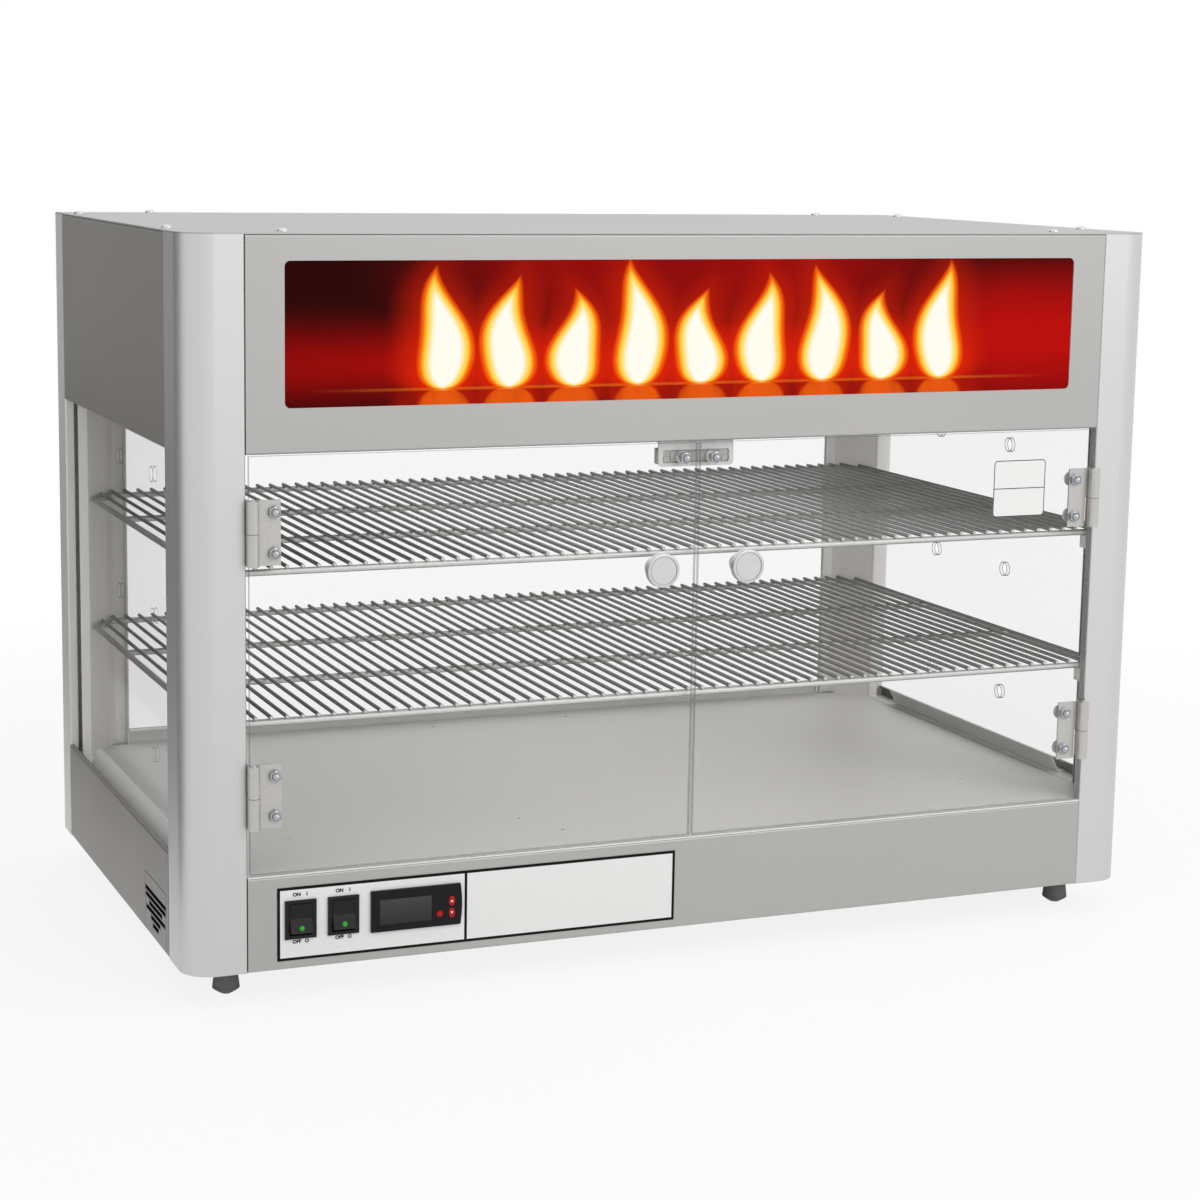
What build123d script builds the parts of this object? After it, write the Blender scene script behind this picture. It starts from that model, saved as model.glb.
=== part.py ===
from build123d import *
import math
import os

# Heated display case: folded stainless sheet, clear panes, two wire racks and two glass doors.
# Millimetres. X runs along the width, -Y is the front with the doors, Z=0 is the table.

# Case
case_width = 854.0
case_depth = 480.0
body_height = 575.0
foot_height = 28.0
sheet = 1.2
fold_radius = 1.8
panel_gap = 0.3

# Corner posts
post_face = 48.8
post_radius = 25.0
front_leg = 58.6
front_leg_return = 18.0
opening_return = 9.0
rear_leg = 32.8
rear_leg_return = 8.0
rear_face = 61.0
rear_corner_radius = 3.0

# Levels above the underside of the body
deck_level = 77.0
side_kerb_level = 86.3
rear_sill_level = 90.5
header_level = 407.5

# Flanges
bottom_flange = 15.0
kerb_flange = 4.0
rear_sill_flange = 12.0
header_front_flange = 20.0
header_rear_flange = 12.0
top_front_flange = 40.0
top_side_flange = 24.0
top_rear_flange = 32.0
rail_leg = 12.0
post_clearance = 0.8

# Small holes in the deck for the parts clamped under it
deck_hole_radius = 2.2
deck_rear_hole_x = 70.0
deck_rear_hole_from_back = 29.0
deck_sensor_x = 114.6
deck_sensor_from_front = 101.0
deck_limit_x = 92.6
deck_limit_from_front = 55.0
deck_slot_from_side = 110.3
deck_slot_from_front = 100.0
deck_slot_length = 6.0
deck_slot_width = 2.6

# Inner corner covers, from the case's side and back planes
cover_flange_start = 10.6
cover_flange_end = 19.8
cover_flange_from_back = 39.2
cover_corner_from_side = 48.8
cover_tail = 9.5
wiring_hole_radius = 5.0
wiring_hole_inset = 21.0

# Clear side and rear panes
pane_thickness = 3.2
side_pane_inset = 18.6
side_pane_start = 45.0
pane_hole_radius = 6.0
pane_hole_from_front = 185.4
pane_hole_pitch_y = 127.0
pane_hole_pitch_z = 117.9
pane_hole_level = 135.3
pane_hole_columns = 2
pane_hole_rows = 3
pane_seat_gap = 0.2
rear_pane_from_back = 2.8
retainer_height = 15.4
retainer_lean = 8.2
retainer_foot = 8.0
retainer_clearance = 0.3
retainer_from_front = 95.0
retainer_from_back = 80.0

# Sign window in the front of the header
sign_from_post = 30.7
sign_height = 111.6
sign_level = 442.4
sign_corner = 4.5
sign_thickness = 3.0
sign_overlap = 6.5

# Lamp inside the header
lamp_radius = 8.0
lamp_chamfer = 1.0
lamp_from_side = 117.0
lamp_from_front = 62.0
holder_width = 14.0
holder_depth = 26.0
holder_above_lamp = 14.0
pin_clearance = 0.1
driver_length = 190.0
driver_depth = 42.0
driver_height = 28.0
driver_chamfer = 2.0
driver_from_back = 320.0

# Top cover screws
top_screw_shank = 2.0
top_screw_head = 4.6
top_screw_head_height = 2.6
top_screw_head_chamfer = 1.2
top_screw_length = 9.0
screw_clearance = 0.15
top_screw_from_side = 85.0
top_screw_from_edge = 12.0
top_screw_from_front = 25.0
top_screw_front_row = 95.0
top_screw_back_row = 50.0

# Feet
foot_from_side = 42.1
foot_from_front = 42.7
foot_top_radius = 9.5
foot_radius = 11.0
foot_widest_level = 8.0
foot_sole_radius = 6.5
foot_shoulder_radius = 9.6
foot_shoulder_level = 2.6
foot_screw_radius = 3.0
foot_screw_length = 18.0
foot_nut_width = 10.0
foot_nut_height = 5.0
foot_screw_past_nut = 1.0

# Wire racks
wire_radius = 1.4
wire_pitch = 12.7
rod_radius = 2.6
rack_rod_from_side = 24.8
rack_rod_from_front = 12.4
rack_bar_from_back = 13.0
rack_wire_tail = 4.0
short_wire_tail = 1.9
rack_corner_cut = 15.0
rack_bars = 2
rod_sides = 8
wire_sides = 6
upper_rack_level = 315.0
lower_rack_level = 196.5
cover_clearance = 0.8
bracket_sheet = 1.2
bracket_reach = 9.0
bracket_height = 12.0
bracket_length = 9.5
front_bracket_start = 2.0
front_bracket_end = 20.0

# Doors
door_glass = 5.0
door_proud = 0.5
door_gap = 3.0
door_edge = 2.5
door_clearance = 1.2
door_bottom_clearance = 1.7
hinge_height = 50.8
hinge_radius = 4.8
hinge_from_post = 3.9
hinge_glass_gap = 0.3
hinge_leaf = 1.5
hinge_leaf_width = 22.9
leaf_notch = 6.0
knuckle_gap = 0.4
pin_radius = 2.4
pin_running = 0.05
pin_proud = 0.8
upper_hinge_level = 347.8
lower_hinge_level = 141.6
hinge_bolt_from_axis = 17.6
hinge_bolt_spacing = 31.8
bolt_radius = 2.4
bolt_clearance = 0.2
bolt_head_radius = 5.0
bolt_head_height = 2.6
bolt_head_chamfer = 1.3
washer_radius = 6.2
washer_thickness = 0.9
nut_width = 8.8
nut_height = 3.4
nut_dome_radius = 4.1
nut_dome_height = 3.8
nut_dome_taper = 22.0
nut_bore_extra = 1.0
hex_sides = 6
knob_from_middle = 37.9
knob_level = 305.5
knob_radius = 14.0
knob_height = 18.8
knob_rim = 6.2
knob_stem_radius = 5.5
knob_foot_radius = 9.0
knob_foot_height = 2.0
knob_ring = 2.6
knob_ring_slope = 0.4
knob_edge = 1.2
knob_foot_slope = 2.0
knob_flare = 3.0
knob_recess = 0.7
knob_screw_depth = 9.0

# Magnetic door catch
strike_from_middle = 13.35
strike_level = 394.2
strike_radius = 8.0
strike_thickness = 1.5
strike_chamfer = 0.3
strike_gap = 0.3
catch_width = 70.0
catch_drop = 12.2
catch_corner = 4.0
catch_height = 15.0
catch_depth = 8.0
catch_slot_width = 60.0
catch_slot_height = 12.6
catch_slot_corner = 1.5
catch_pocket_width = 9.0
catch_pocket_height = 10.0
catch_pocket_depth = 2.0
catch_flange = 12.0
catch_sheet = 1.5
catch_fold_radius = 2.0

# Control plate, switches and temperature controller on the front of the base
plate_from_side = 72.4
plate_width = 340.6
plate_height = 59.3
plate_level = 7.1
plate_thickness = 0.5
switch_pitch = 35.0
switch_from_side = 91.1
control_level = 40.2
bezel_width = 25.4
bezel_height = 31.1
bezel_thickness = 2.0
switch_body_width = 21.6
switch_body_height = 28.1
switch_body_depth = 24.0
switch_opening_width = 18.6
switch_opening_height = 25.8
switch_pocket_depth = 13.0
cutout_clearance = 0.2
rocker_width = 18.0
rocker_half_height = 11.6
rocker_pivot_depth = 3.0
rocker_tip = 7.5
rocker_waist = 5.2
rocker_back = 2.5
rocker_keel = 6.5
rocker_keel_half = 4.0
rocker_tilt = 9.0
rocker_pin_radius = 1.5
rocker_pin_length = 1.1
rocker_running = 0.06
lens_radius = 2.2
lens_height = 0.5
lens_drop = 7.6
controller_from_side = 148.7
controller_width = 76.3
controller_height = 33.8
controller_bezel = 3.0
controller_bulge = 1.4
controller_chamfer = 0.6
controller_body_width = 70.5
controller_body_height = 28.5
controller_body_depth = 58.0
window_from_left = 7.0
window_width = 43.3
window_height = 20.6
window_drop = 0.8
window_depth = 1.0
window_clearance = 0.1
button_width = 5.2
button_height = 8.0
button_set_width = 5.0
button_proud = 0.6
button_travel = 0.5
button_depth = 2.2
button_floor = 0.3
button_clearance = 0.25
button_column = 67.2
button_set_column = 56.9
button_upper_drop = 13.4
button_lower_drop = 23.2

# Vent plates in the sides of the base
vent_from_front = 66.5
vent_width = 74.5
vent_height = 50.0
vent_slot_height = 3.3
vent_slot_pitch = 5.2
vent_slot_level = 11.0
vent_slot_lengths = (20.0, 33.0, 65.4, 45.0, 68.7, 71.0)

# Heat and power inside the base
element_radius = 4.0
element_from_side = 167.0
element_from_back = 120.0
element_legs = 3
element_from_front = 120.0
element_bend_share = 0.45
contact_gap = 0.2
thermostat_radius = 8.0
thermostat_height = 9.0
thermostat_flange = 12.0
thermostat_flange_thickness = 1.5
probe_radius = 3.0
probe_length = 48.0
probe_chamfer = 1.2
probe_from_middle = 130.0
gland_from_side = 130.0
gland_level = 42.0
gland_hole_radius = 9.5
gland_flange_radius = 13.0
gland_flange = 3.0
gland_reach = 8.0
gland_tail = 12.0
gland_nose_radius = 9.0
gland_bore_radius = 4.25
gland_nose_taper = 12.0

# Levels and planes that follow from the sizes above
half_width = case_width / 2
knob_reach = door_proud + knob_height
front_y = -(case_depth + knob_reach + gland_reach) / 2 + knob_reach
back_y = front_y + case_depth
base_z = foot_height
top_z = base_z + body_height
shell_top = top_z - sheet
deck_z = base_z + deck_level
kerb_z = base_z + side_kerb_level
sill_z = base_z + rear_sill_level
header_z = base_z + header_level
ceiling_z = header_z + sheet
post_edge = half_width - post_face
rear_edge = half_width - rear_face
side_start = front_y + front_leg + panel_gap
side_end = back_y - rear_leg - panel_gap
side_length = side_end - side_start
front_width = 2 * (post_edge - panel_gap)
rear_width = 2 * (rear_edge - panel_gap)
pane_outer = half_width - side_pane_inset
glass_front = front_y - door_proud
glass_back = glass_front + door_glass
hinge_x = post_edge - hinge_from_post
hinge_y = glass_front - hinge_glass_gap - hinge_radius
control_z = base_z + control_level
sign_width = 2 * (post_edge - sign_from_post)
lamp_length = case_width - 2 * lamp_from_side
plate_left = half_width - plate_from_side
switch_left = half_width - switch_from_side
controller_left = half_width - controller_from_side
element_width = case_width - 2 * element_from_side
element_depth = case_depth - element_from_front - element_from_back
plate_front = front_y - plate_thickness

os.makedirs("parts", exist_ok=True)
pieces = []


def keep(name, part):
    part.label = name
    pieces.append((name, part))


def sheet_section(points, side, radii=None, thickness=sheet):
    # A folded sheet seen end on: the points follow its outer face and the metal lies to one side.
    with BuildSketch() as section:
        with BuildLine():
            FilletPolyline(*points, radius=radii or fold_radius)
            offset(amount=thickness, side=side)
        make_face()
    return section.sketch


def mirrored(left_part):
    with BuildPart() as right_side:
        mirror(left_part, about=Plane.YZ)
    return right_side.part


# Corner posts
with BuildPart() as left_front_post:
    with BuildSketch(Plane.XY.offset(base_z)):
        add(
            sheet_section(
                [
                    (-post_edge, front_y + opening_return),
                    (-post_edge, front_y),
                    (-half_width, front_y),
                    (-half_width, front_y + front_leg),
                    (-half_width + front_leg_return, front_y + front_leg),
                ],
                Side.RIGHT,
                radii=[fold_radius, post_radius, fold_radius],
            )
        )
    extrude(amount=shell_top - base_z)
keep("left_front_post", left_front_post.part)
keep("right_front_post", mirrored(left_front_post.part))

with BuildPart() as left_rear_post:
    with BuildSketch(Plane.XY.offset(base_z)):
        add(
            sheet_section(
                [
                    (-rear_edge, back_y - rear_leg_return),
                    (-rear_edge, back_y),
                    (-half_width, back_y),
                    (-half_width, back_y - rear_leg),
                    (-half_width + rear_leg_return, back_y - rear_leg),
                ],
                Side.LEFT,
                radii=[fold_radius, rear_corner_radius, fold_radius],
            )
        )
    extrude(amount=shell_top - base_z)
keep("left_rear_post", left_rear_post.part)
keep("right_rear_post", mirrored(left_rear_post.part))

# Slanted covers that close the rear posts towards the warm space and hide the wiring
cover_top = header_z - contact_gap
with BuildPart() as left_cover:
    with BuildSketch(Plane.XY.offset(deck_z)):
        cover_back = back_y - 2 * sheet
        add(
            sheet_section(
                [
                    (-half_width + cover_flange_start, back_y - cover_flange_from_back),
                    (-half_width + cover_flange_end, back_y - cover_flange_from_back),
                    (-half_width + cover_corner_from_side, cover_back),
                    (-half_width + cover_corner_from_side + cover_tail, cover_back),
                ],
                Side.LEFT,
            )
        )
    extrude(amount=cover_top - deck_z)
with BuildPart() as corner_covers:
    add(left_cover.part)
    mirror(left_cover.part, about=Plane.YZ)
keep("corner_covers", corner_covers.part)


# Base panels
with BuildPart() as front_base_panel:
    with BuildSketch(Plane.YZ):
        add(
            sheet_section(
                [
                    (front_y + bottom_flange, base_z),
                    (front_y, base_z),
                    (front_y, deck_z - sheet),
                    (front_y + bottom_flange, deck_z - sheet),
                ],
                Side.RIGHT,
            )
        )
    extrude(amount=front_width / 2, both=True)
    switch_x = [-switch_left, -switch_left + switch_pitch]
    controller_x = -controller_left + controller_width / 2
    with BuildSketch(Plane.XZ.offset(-front_y - bottom_flange)):
        with Locations(*[(x, control_z) for x in switch_x]):
            Rectangle(
                switch_body_width + 2 * cutout_clearance,
                switch_body_height + 2 * cutout_clearance,
            )
        with Locations((controller_x, control_z)):
            Rectangle(
                controller_body_width + 2 * cutout_clearance,
                controller_body_height + 2 * cutout_clearance,
            )
    extrude(amount=bottom_flange, mode=Mode.SUBTRACT)
keep("front_base_panel", front_base_panel.part)

with BuildPart() as rear_base_panel:
    with BuildSketch(Plane.YZ):
        add(
            sheet_section(
                [
                    (back_y - bottom_flange, base_z),
                    (back_y, base_z),
                    (back_y, sill_z),
                    (back_y - rear_sill_flange, sill_z),
                ],
                Side.LEFT,
            )
        )
    extrude(amount=rear_width / 2, both=True)
    gland_x = half_width - gland_from_side
    gland_z = base_z + gland_level
    with BuildSketch(Plane.XZ.offset(-back_y)):
        with Locations((gland_x, gland_z)):
            Circle(gland_hole_radius + cutout_clearance)
    extrude(amount=2 * sheet, mode=Mode.SUBTRACT)
keep("rear_base_panel", rear_base_panel.part)

vent_y = front_y + vent_from_front + vent_width / 2
with BuildPart() as left_base_panel:
    with BuildSketch(Plane.XZ.offset(-side_end)):
        add(
            sheet_section(
                [
                    (-half_width + bottom_flange, base_z),
                    (-half_width, base_z),
                    (-half_width, kerb_z),
                    (-half_width + kerb_flange, kerb_z),
                ],
                Side.RIGHT,
            )
        )
    extrude(amount=side_length)
    with BuildSketch(Plane.YZ.offset(-half_width)):
        with Locations((vent_y, base_z)):
            Rectangle(
                vent_width + 2 * cutout_clearance,
                2 * (vent_height + cutout_clearance),
            )
    extrude(amount=bottom_flange, mode=Mode.SUBTRACT)
keep("left_base_panel", left_base_panel.part)
keep("right_base_panel", mirrored(left_base_panel.part))

with BuildPart() as left_vent:
    with BuildSketch(Plane.XZ.offset(-vent_y - vent_width / 2)):
        add(
            sheet_section(
                [
                    (-half_width + bottom_flange, base_z),
                    (-half_width, base_z),
                    (-half_width, base_z + vent_height),
                ],
                Side.RIGHT,
            )
        )
    extrude(amount=vent_width)
    with BuildSketch(Plane.YZ.offset(-half_width)):
        for row, slot_length in enumerate(vent_slot_lengths):
            slot_z = base_z + vent_slot_level + row * vent_slot_pitch
            with Locations((vent_y, slot_z)):
                Rectangle(slot_length, vent_slot_height)
    extrude(amount=sheet, mode=Mode.SUBTRACT)
with BuildPart() as vent_plates:
    add(left_vent.part)
    mirror(left_vent.part, about=Plane.YZ)
keep("vent_plates", vent_plates.part)


def floor_outline(front_inset, wide_half):
    # Level sheet that clears the folded edges of the four posts.
    between_posts = half_width - front_leg_return - post_clearance
    behind_rear = half_width - rear_leg_return - post_clearance
    middle_y = (side_start + side_end) / 2
    narrow_start = front_y + opening_return + post_clearance
    narrow_end = back_y - opening_return
    with Locations((0, (narrow_start + narrow_end) / 2)):
        Rectangle(2 * between_posts, narrow_end - narrow_start)
    with Locations((0, (side_start + narrow_end) / 2)):
        Rectangle(2 * behind_rear, narrow_end - side_start)
    with Locations((0, middle_y)):
        Rectangle(2 * wide_half, side_length)
    front_start = front_y + front_inset
    with Locations((0, (front_start + middle_y) / 2)):
        Rectangle(front_width, middle_y - front_start)


foot_x = half_width - foot_from_side
foot_spots = [
    (side * foot_x, y)
    for side in (-1, 1)
    for y in (front_y + foot_from_front, back_y - foot_from_front)
]
pan_z = base_z + sheet
with BuildPart() as base_pan:
    with BuildSketch(Plane.XY.offset(pan_z)):
        floor_outline(2 * sheet, half_width - 3 * sheet)
        with Locations(*foot_spots):
            Circle(foot_screw_radius + screw_clearance, mode=Mode.SUBTRACT)
    extrude(amount=sheet)
keep("base_pan", base_pan.part)

wiring_spots = [
    (side * (half_width - wiring_hole_inset), back_y - wiring_hole_inset) for side in (-1, 1)
]
deck_hole_spots = [
    (-deck_rear_hole_x, back_y - deck_rear_hole_from_back),
    (deck_rear_hole_x, back_y - deck_rear_hole_from_back),
    (-deck_sensor_x, front_y + deck_sensor_from_front),
    (-deck_limit_x, front_y + deck_limit_from_front),
]
deck_slot_x = half_width - deck_slot_from_side
with BuildPart() as deck:
    with BuildSketch(Plane.XY.offset(deck_z - sheet)):
        floor_outline(0, half_width - sheet - panel_gap)
        with Locations((0, (back_y + front_y) / 2)):
            Rectangle(rear_width, case_depth - 2 * (sheet + panel_gap))
        with Locations(*wiring_spots):
            Circle(wiring_hole_radius, mode=Mode.SUBTRACT)
        with Locations(*deck_hole_spots):
            Circle(deck_hole_radius, mode=Mode.SUBTRACT)
        with Locations(*[(side * deck_slot_x, front_y + deck_slot_from_front) for side in (-1, 1)]):
            SlotOverall(deck_slot_length, deck_slot_width, mode=Mode.SUBTRACT)
    extrude(amount=sheet)
keep("deck", deck.part)

# Angles welded inside the base panels, on which the deck rests
rail_z = deck_z - sheet
with BuildPart() as deck_rails:
    with BuildSketch(Plane.XZ.offset(-side_end + rail_leg)):
        add(
            sheet_section(
                [
                    (-half_width + sheet, rail_z - rail_leg),
                    (-half_width + sheet, rail_z),
                    (-half_width + sheet + rail_leg, rail_z),
                ],
                Side.RIGHT,
            )
        )
    extrude(amount=side_length - 2 * rail_leg)
    mirror(about=Plane.YZ)
    with BuildSketch(Plane.YZ):
        add(
            sheet_section(
                [
                    (back_y - sheet, rail_z - rail_leg),
                    (back_y - sheet, rail_z),
                    (back_y - sheet - rail_leg, rail_z),
                ],
                Side.LEFT,
            )
        )
    extrude(amount=rear_width / 2 - rail_leg, both=True)
keep("deck_rails", deck_rails.part)

# Leaning strips that hold the side panes at the deck
retainer_start = front_y + retainer_from_front
retainer_end = back_y - retainer_from_back
retainer_top_x = pane_outer + retainer_clearance
retainer_foot_x = retainer_top_x + retainer_lean
with BuildPart() as pane_retainers:
    with BuildSketch(Plane.XZ.offset(-retainer_end)):
        add(
            sheet_section(
                [
                    (-retainer_foot_x - retainer_foot, deck_z),
                    (-retainer_foot_x, deck_z),
                    (-retainer_top_x, deck_z + retainer_height),
                ],
                Side.LEFT,
            )
        )
    extrude(amount=retainer_end - retainer_start)
    mirror(about=Plane.YZ)
keep("pane_retainers", pane_retainers.part)

# Header panels
sign_z = base_z + sign_level + sign_height / 2
with BuildPart() as front_header:
    with BuildSketch(Plane.YZ):
        add(
            sheet_section(
                [
                    (front_y + header_front_flange, header_z),
                    (front_y, header_z),
                    (front_y, shell_top),
                    (front_y + top_front_flange, shell_top),
                ],
                Side.RIGHT,
            )
        )
    extrude(amount=front_width / 2, both=True)
    with BuildSketch(Plane.XZ.offset(-front_y - 2 * sheet)):
        with Locations((0, sign_z)):
            RectangleRounded(sign_width, sign_height, sign_corner)
    extrude(amount=3 * sheet, mode=Mode.SUBTRACT)
    front_screw_x = half_width - top_screw_from_side
    with BuildSketch(Plane.XY.offset(shell_top)):
        with Locations(*[(s * front_screw_x, front_y + top_screw_from_front) for s in (-1, 1)]):
            Circle(top_screw_shank + screw_clearance)
    extrude(amount=-2 * sheet, mode=Mode.SUBTRACT)
keep("front_header", front_header.part)

with BuildPart() as rear_header_panel:
    with BuildSketch(Plane.YZ):
        add(
            sheet_section(
                [
                    (back_y - header_rear_flange, header_z),
                    (back_y, header_z),
                    (back_y, shell_top),
                    (back_y - top_rear_flange, shell_top),
                ],
                Side.LEFT,
            )
        )
    extrude(amount=rear_width / 2, both=True)
    with BuildSketch(Plane.XY.offset(shell_top)):
        with Locations(*[(s * front_screw_x, back_y - top_screw_from_edge) for s in (-1, 1)]):
            Circle(top_screw_shank + screw_clearance)
    extrude(amount=-2 * sheet, mode=Mode.SUBTRACT)
keep("rear_header_panel", rear_header_panel.part)

side_screw_x = half_width - top_screw_from_edge
side_screw_y = [front_y + top_screw_front_row, back_y - top_screw_back_row]
with BuildPart() as left_header_panel:
    with BuildSketch(Plane.XZ.offset(-side_end)):
        add(
            sheet_section(
                [
                    (-half_width + bottom_flange, header_z),
                    (-half_width, header_z),
                    (-half_width, shell_top),
                    (-half_width + top_side_flange, shell_top),
                ],
                Side.RIGHT,
            )
        )
    extrude(amount=side_length)
    with BuildSketch(Plane.XY.offset(shell_top)):
        with Locations(*[(-side_screw_x, y) for y in side_screw_y]):
            Circle(top_screw_shank + screw_clearance)
    extrude(amount=-2 * sheet, mode=Mode.SUBTRACT)
keep("left_header_panel", left_header_panel.part)
keep("right_header_panel", mirrored(left_header_panel.part))

with BuildPart() as ceiling_panel:
    with BuildSketch(Plane.XY.offset(ceiling_z)):
        floor_outline(2 * sheet, half_width - 2 * sheet)
        with Locations(*wiring_spots):
            Circle(wiring_hole_radius, mode=Mode.SUBTRACT)
    extrude(amount=sheet)
keep("ceiling_panel", ceiling_panel.part)

# Top cover and its eight round-head screws
top_screw_spots = [
    *[(s * front_screw_x, front_y + top_screw_from_front) for s in (-1, 1)],
    *[(s * front_screw_x, back_y - top_screw_from_edge) for s in (-1, 1)],
    *[(s * side_screw_x, y) for s in (-1, 1) for y in side_screw_y],
]
with BuildPart() as top_cover:
    with BuildSketch(Plane.XY.offset(shell_top)) as cover_outline:
        with Locations((0, (front_y + back_y) / 2)):
            Rectangle(case_width, case_depth)
        fillet(cover_outline.vertices().group_by(Axis.Y)[0], post_radius)
        fillet(cover_outline.vertices().group_by(Axis.Y)[-1], rear_corner_radius)
        with Locations(*top_screw_spots):
            Circle(top_screw_shank + screw_clearance, mode=Mode.SUBTRACT)
    extrude(amount=sheet)
keep("top_cover", top_cover.part)

with BuildPart() as top_screws:
    with BuildSketch(Plane.XY.offset(top_z - top_screw_length)):
        with Locations(*top_screw_spots):
            Circle(top_screw_shank)
    extrude(amount=top_screw_length)
    with BuildSketch(Plane.XY.offset(top_z)):
        with Locations(*top_screw_spots):
            Circle(top_screw_head)
    extrude(amount=top_screw_head_height)
    chamfer(top_screws.edges().group_by(Axis.Z)[-1], top_screw_head_chamfer)
keep("top_screws", top_screws.part)

# Lit sign panel behind the header's window, with its lamp, holders and driver
with BuildPart() as sign_panel:
    with BuildSketch(Plane.XZ.offset(-front_y - sheet - sign_thickness)):
        with Locations((0, sign_z)):
            RectangleRounded(sign_width + 2 * sign_overlap, sign_height + 2 * sign_overlap, sign_corner)
    extrude(amount=sign_thickness)
keep("sign_panel", sign_panel.part)

lamp_y = front_y + lamp_from_front
holder_floor = ceiling_z + sheet
lamp_plane = Plane(origin=(0, lamp_y, sign_z), x_dir=(0, 1, 0), z_dir=(1, 0, 0))
with BuildPart() as lamp_tube:
    with BuildSketch(lamp_plane):
        Circle(lamp_radius)
    extrude(amount=lamp_length / 2, both=True)
    chamfer(lamp_tube.edges(), lamp_chamfer)
keep("lamp_tube", lamp_tube.part)

with BuildPart() as lamp_holders:
    holder_height = sign_z + holder_above_lamp - holder_floor
    with BuildSketch(Plane.XY.offset(holder_floor)):
        with Locations((-lamp_length / 2, lamp_y), (lamp_length / 2, lamp_y)):
            Rectangle(holder_width, holder_depth)
    extrude(amount=holder_height)
    with BuildSketch(lamp_plane):
        Circle(lamp_radius + pin_clearance)
    extrude(amount=lamp_length / 2 + pin_clearance, both=True, mode=Mode.SUBTRACT)
keep("lamp_holders", lamp_holders.part)

with BuildPart() as lamp_driver:
    with BuildSketch(Plane.XY.offset(holder_floor)):
        with Locations((0, back_y - driver_from_back)):
            Rectangle(driver_length, driver_depth)
    extrude(amount=driver_height)
    chamfer(lamp_driver.edges().group_by(Axis.Z)[-1], driver_chamfer)
keep("lamp_driver", lamp_driver.part)

# Clear panes
pane_bottom = deck_z + pane_seat_gap
pane_top = header_z - pane_seat_gap
pane_start = front_y + side_pane_start
pane_end = back_y - cover_flange_from_back - panel_gap
with BuildPart() as left_side_pane:
    with BuildSketch(Plane.YZ.offset(-pane_outer)):
        with Locations(((pane_start + pane_end) / 2, (pane_bottom + pane_top) / 2)):
            Rectangle(pane_end - pane_start, pane_top - pane_bottom)
        for column in range(pane_hole_columns):
            for row in range(pane_hole_rows):
                hole_y = front_y + pane_hole_from_front + column * pane_hole_pitch_y
                hole_z = base_z + pane_hole_level + row * pane_hole_pitch_z
                with Locations((hole_y, hole_z)):
                    Circle(pane_hole_radius, mode=Mode.SUBTRACT)
    extrude(amount=pane_thickness)
keep("left_side_pane", left_side_pane.part)
keep("right_side_pane", mirrored(left_side_pane.part))

rear_pane_bottom = sill_z + pane_seat_gap
with BuildPart() as rear_pane:
    with BuildSketch(Plane.XZ.offset(-back_y + rear_pane_from_back)):
        with Locations((0, (rear_pane_bottom + pane_top) / 2)):
            Rectangle(rear_width - 2 * panel_gap, pane_top - rear_pane_bottom)
    extrude(amount=pane_thickness)
keep("rear_pane", rear_pane.part)


# Wire racks: a mitred frame of eight-sided rods with its corners cut, and wires welded on top
slant_run = cover_corner_from_side - cover_flange_end
slant_rise = cover_flange_from_back - 2 * sheet
slant_length = math.hypot(slant_run, slant_rise)
rack_side = half_width - rack_rod_from_side
rack_front = front_y + rack_rod_from_front
rack_back = back_y - rack_bar_from_back
rack_slant_start = cover_flange_end + (rod_radius + cover_clearance) * slant_length / slant_rise


def slant_rod_y(x):
    # Where the rod beside the slanted cover passes a given distance from the middle.
    inset = half_width - abs(x) - rack_slant_start
    return back_y - cover_flange_from_back + inset * slant_rise / slant_run


rack_back_corner = half_width - rack_slant_start - (
    (cover_flange_from_back - rack_bar_from_back) * slant_run / slant_rise
)
rack_corners = [
    (rack_side - rack_corner_cut, rack_front),
    (rack_side, rack_front + rack_corner_cut),
    (rack_side, slant_rod_y(rack_side)),
    (rack_back_corner, rack_back),
]
rack_outline = [*rack_corners, *[(-x, y) for x, y in reversed(rack_corners)]]
rack_z = base_z + upper_rack_level
wire_z = rack_z + rod_radius + wire_radius
wire_start = rack_front - rod_radius
wire_end = rack_back + rack_wire_tail
wires_each_side = int((rack_side - rod_radius - wire_radius) // wire_pitch)
wire_x = [number * wire_pitch for number in range(-wires_each_side, wires_each_side + 1)]
corner_start = rack_side - rack_corner_cut
long_wires = [x for x in wire_x if abs(x) < rack_back_corner - wire_radius]
short_wires = [x for x in wire_x if x not in long_wires]
bar_step = (rack_back - rack_front) / (rack_bars + 1)
bar_spots = [(rack_front + bar * bar_step, rack_z) for bar in range(1, rack_bars + 1)]
rod_start = Plane(origin=(0, rack_front, rack_z), x_dir=(0, 1, 0), z_dir=(1, 0, 0))
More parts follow.
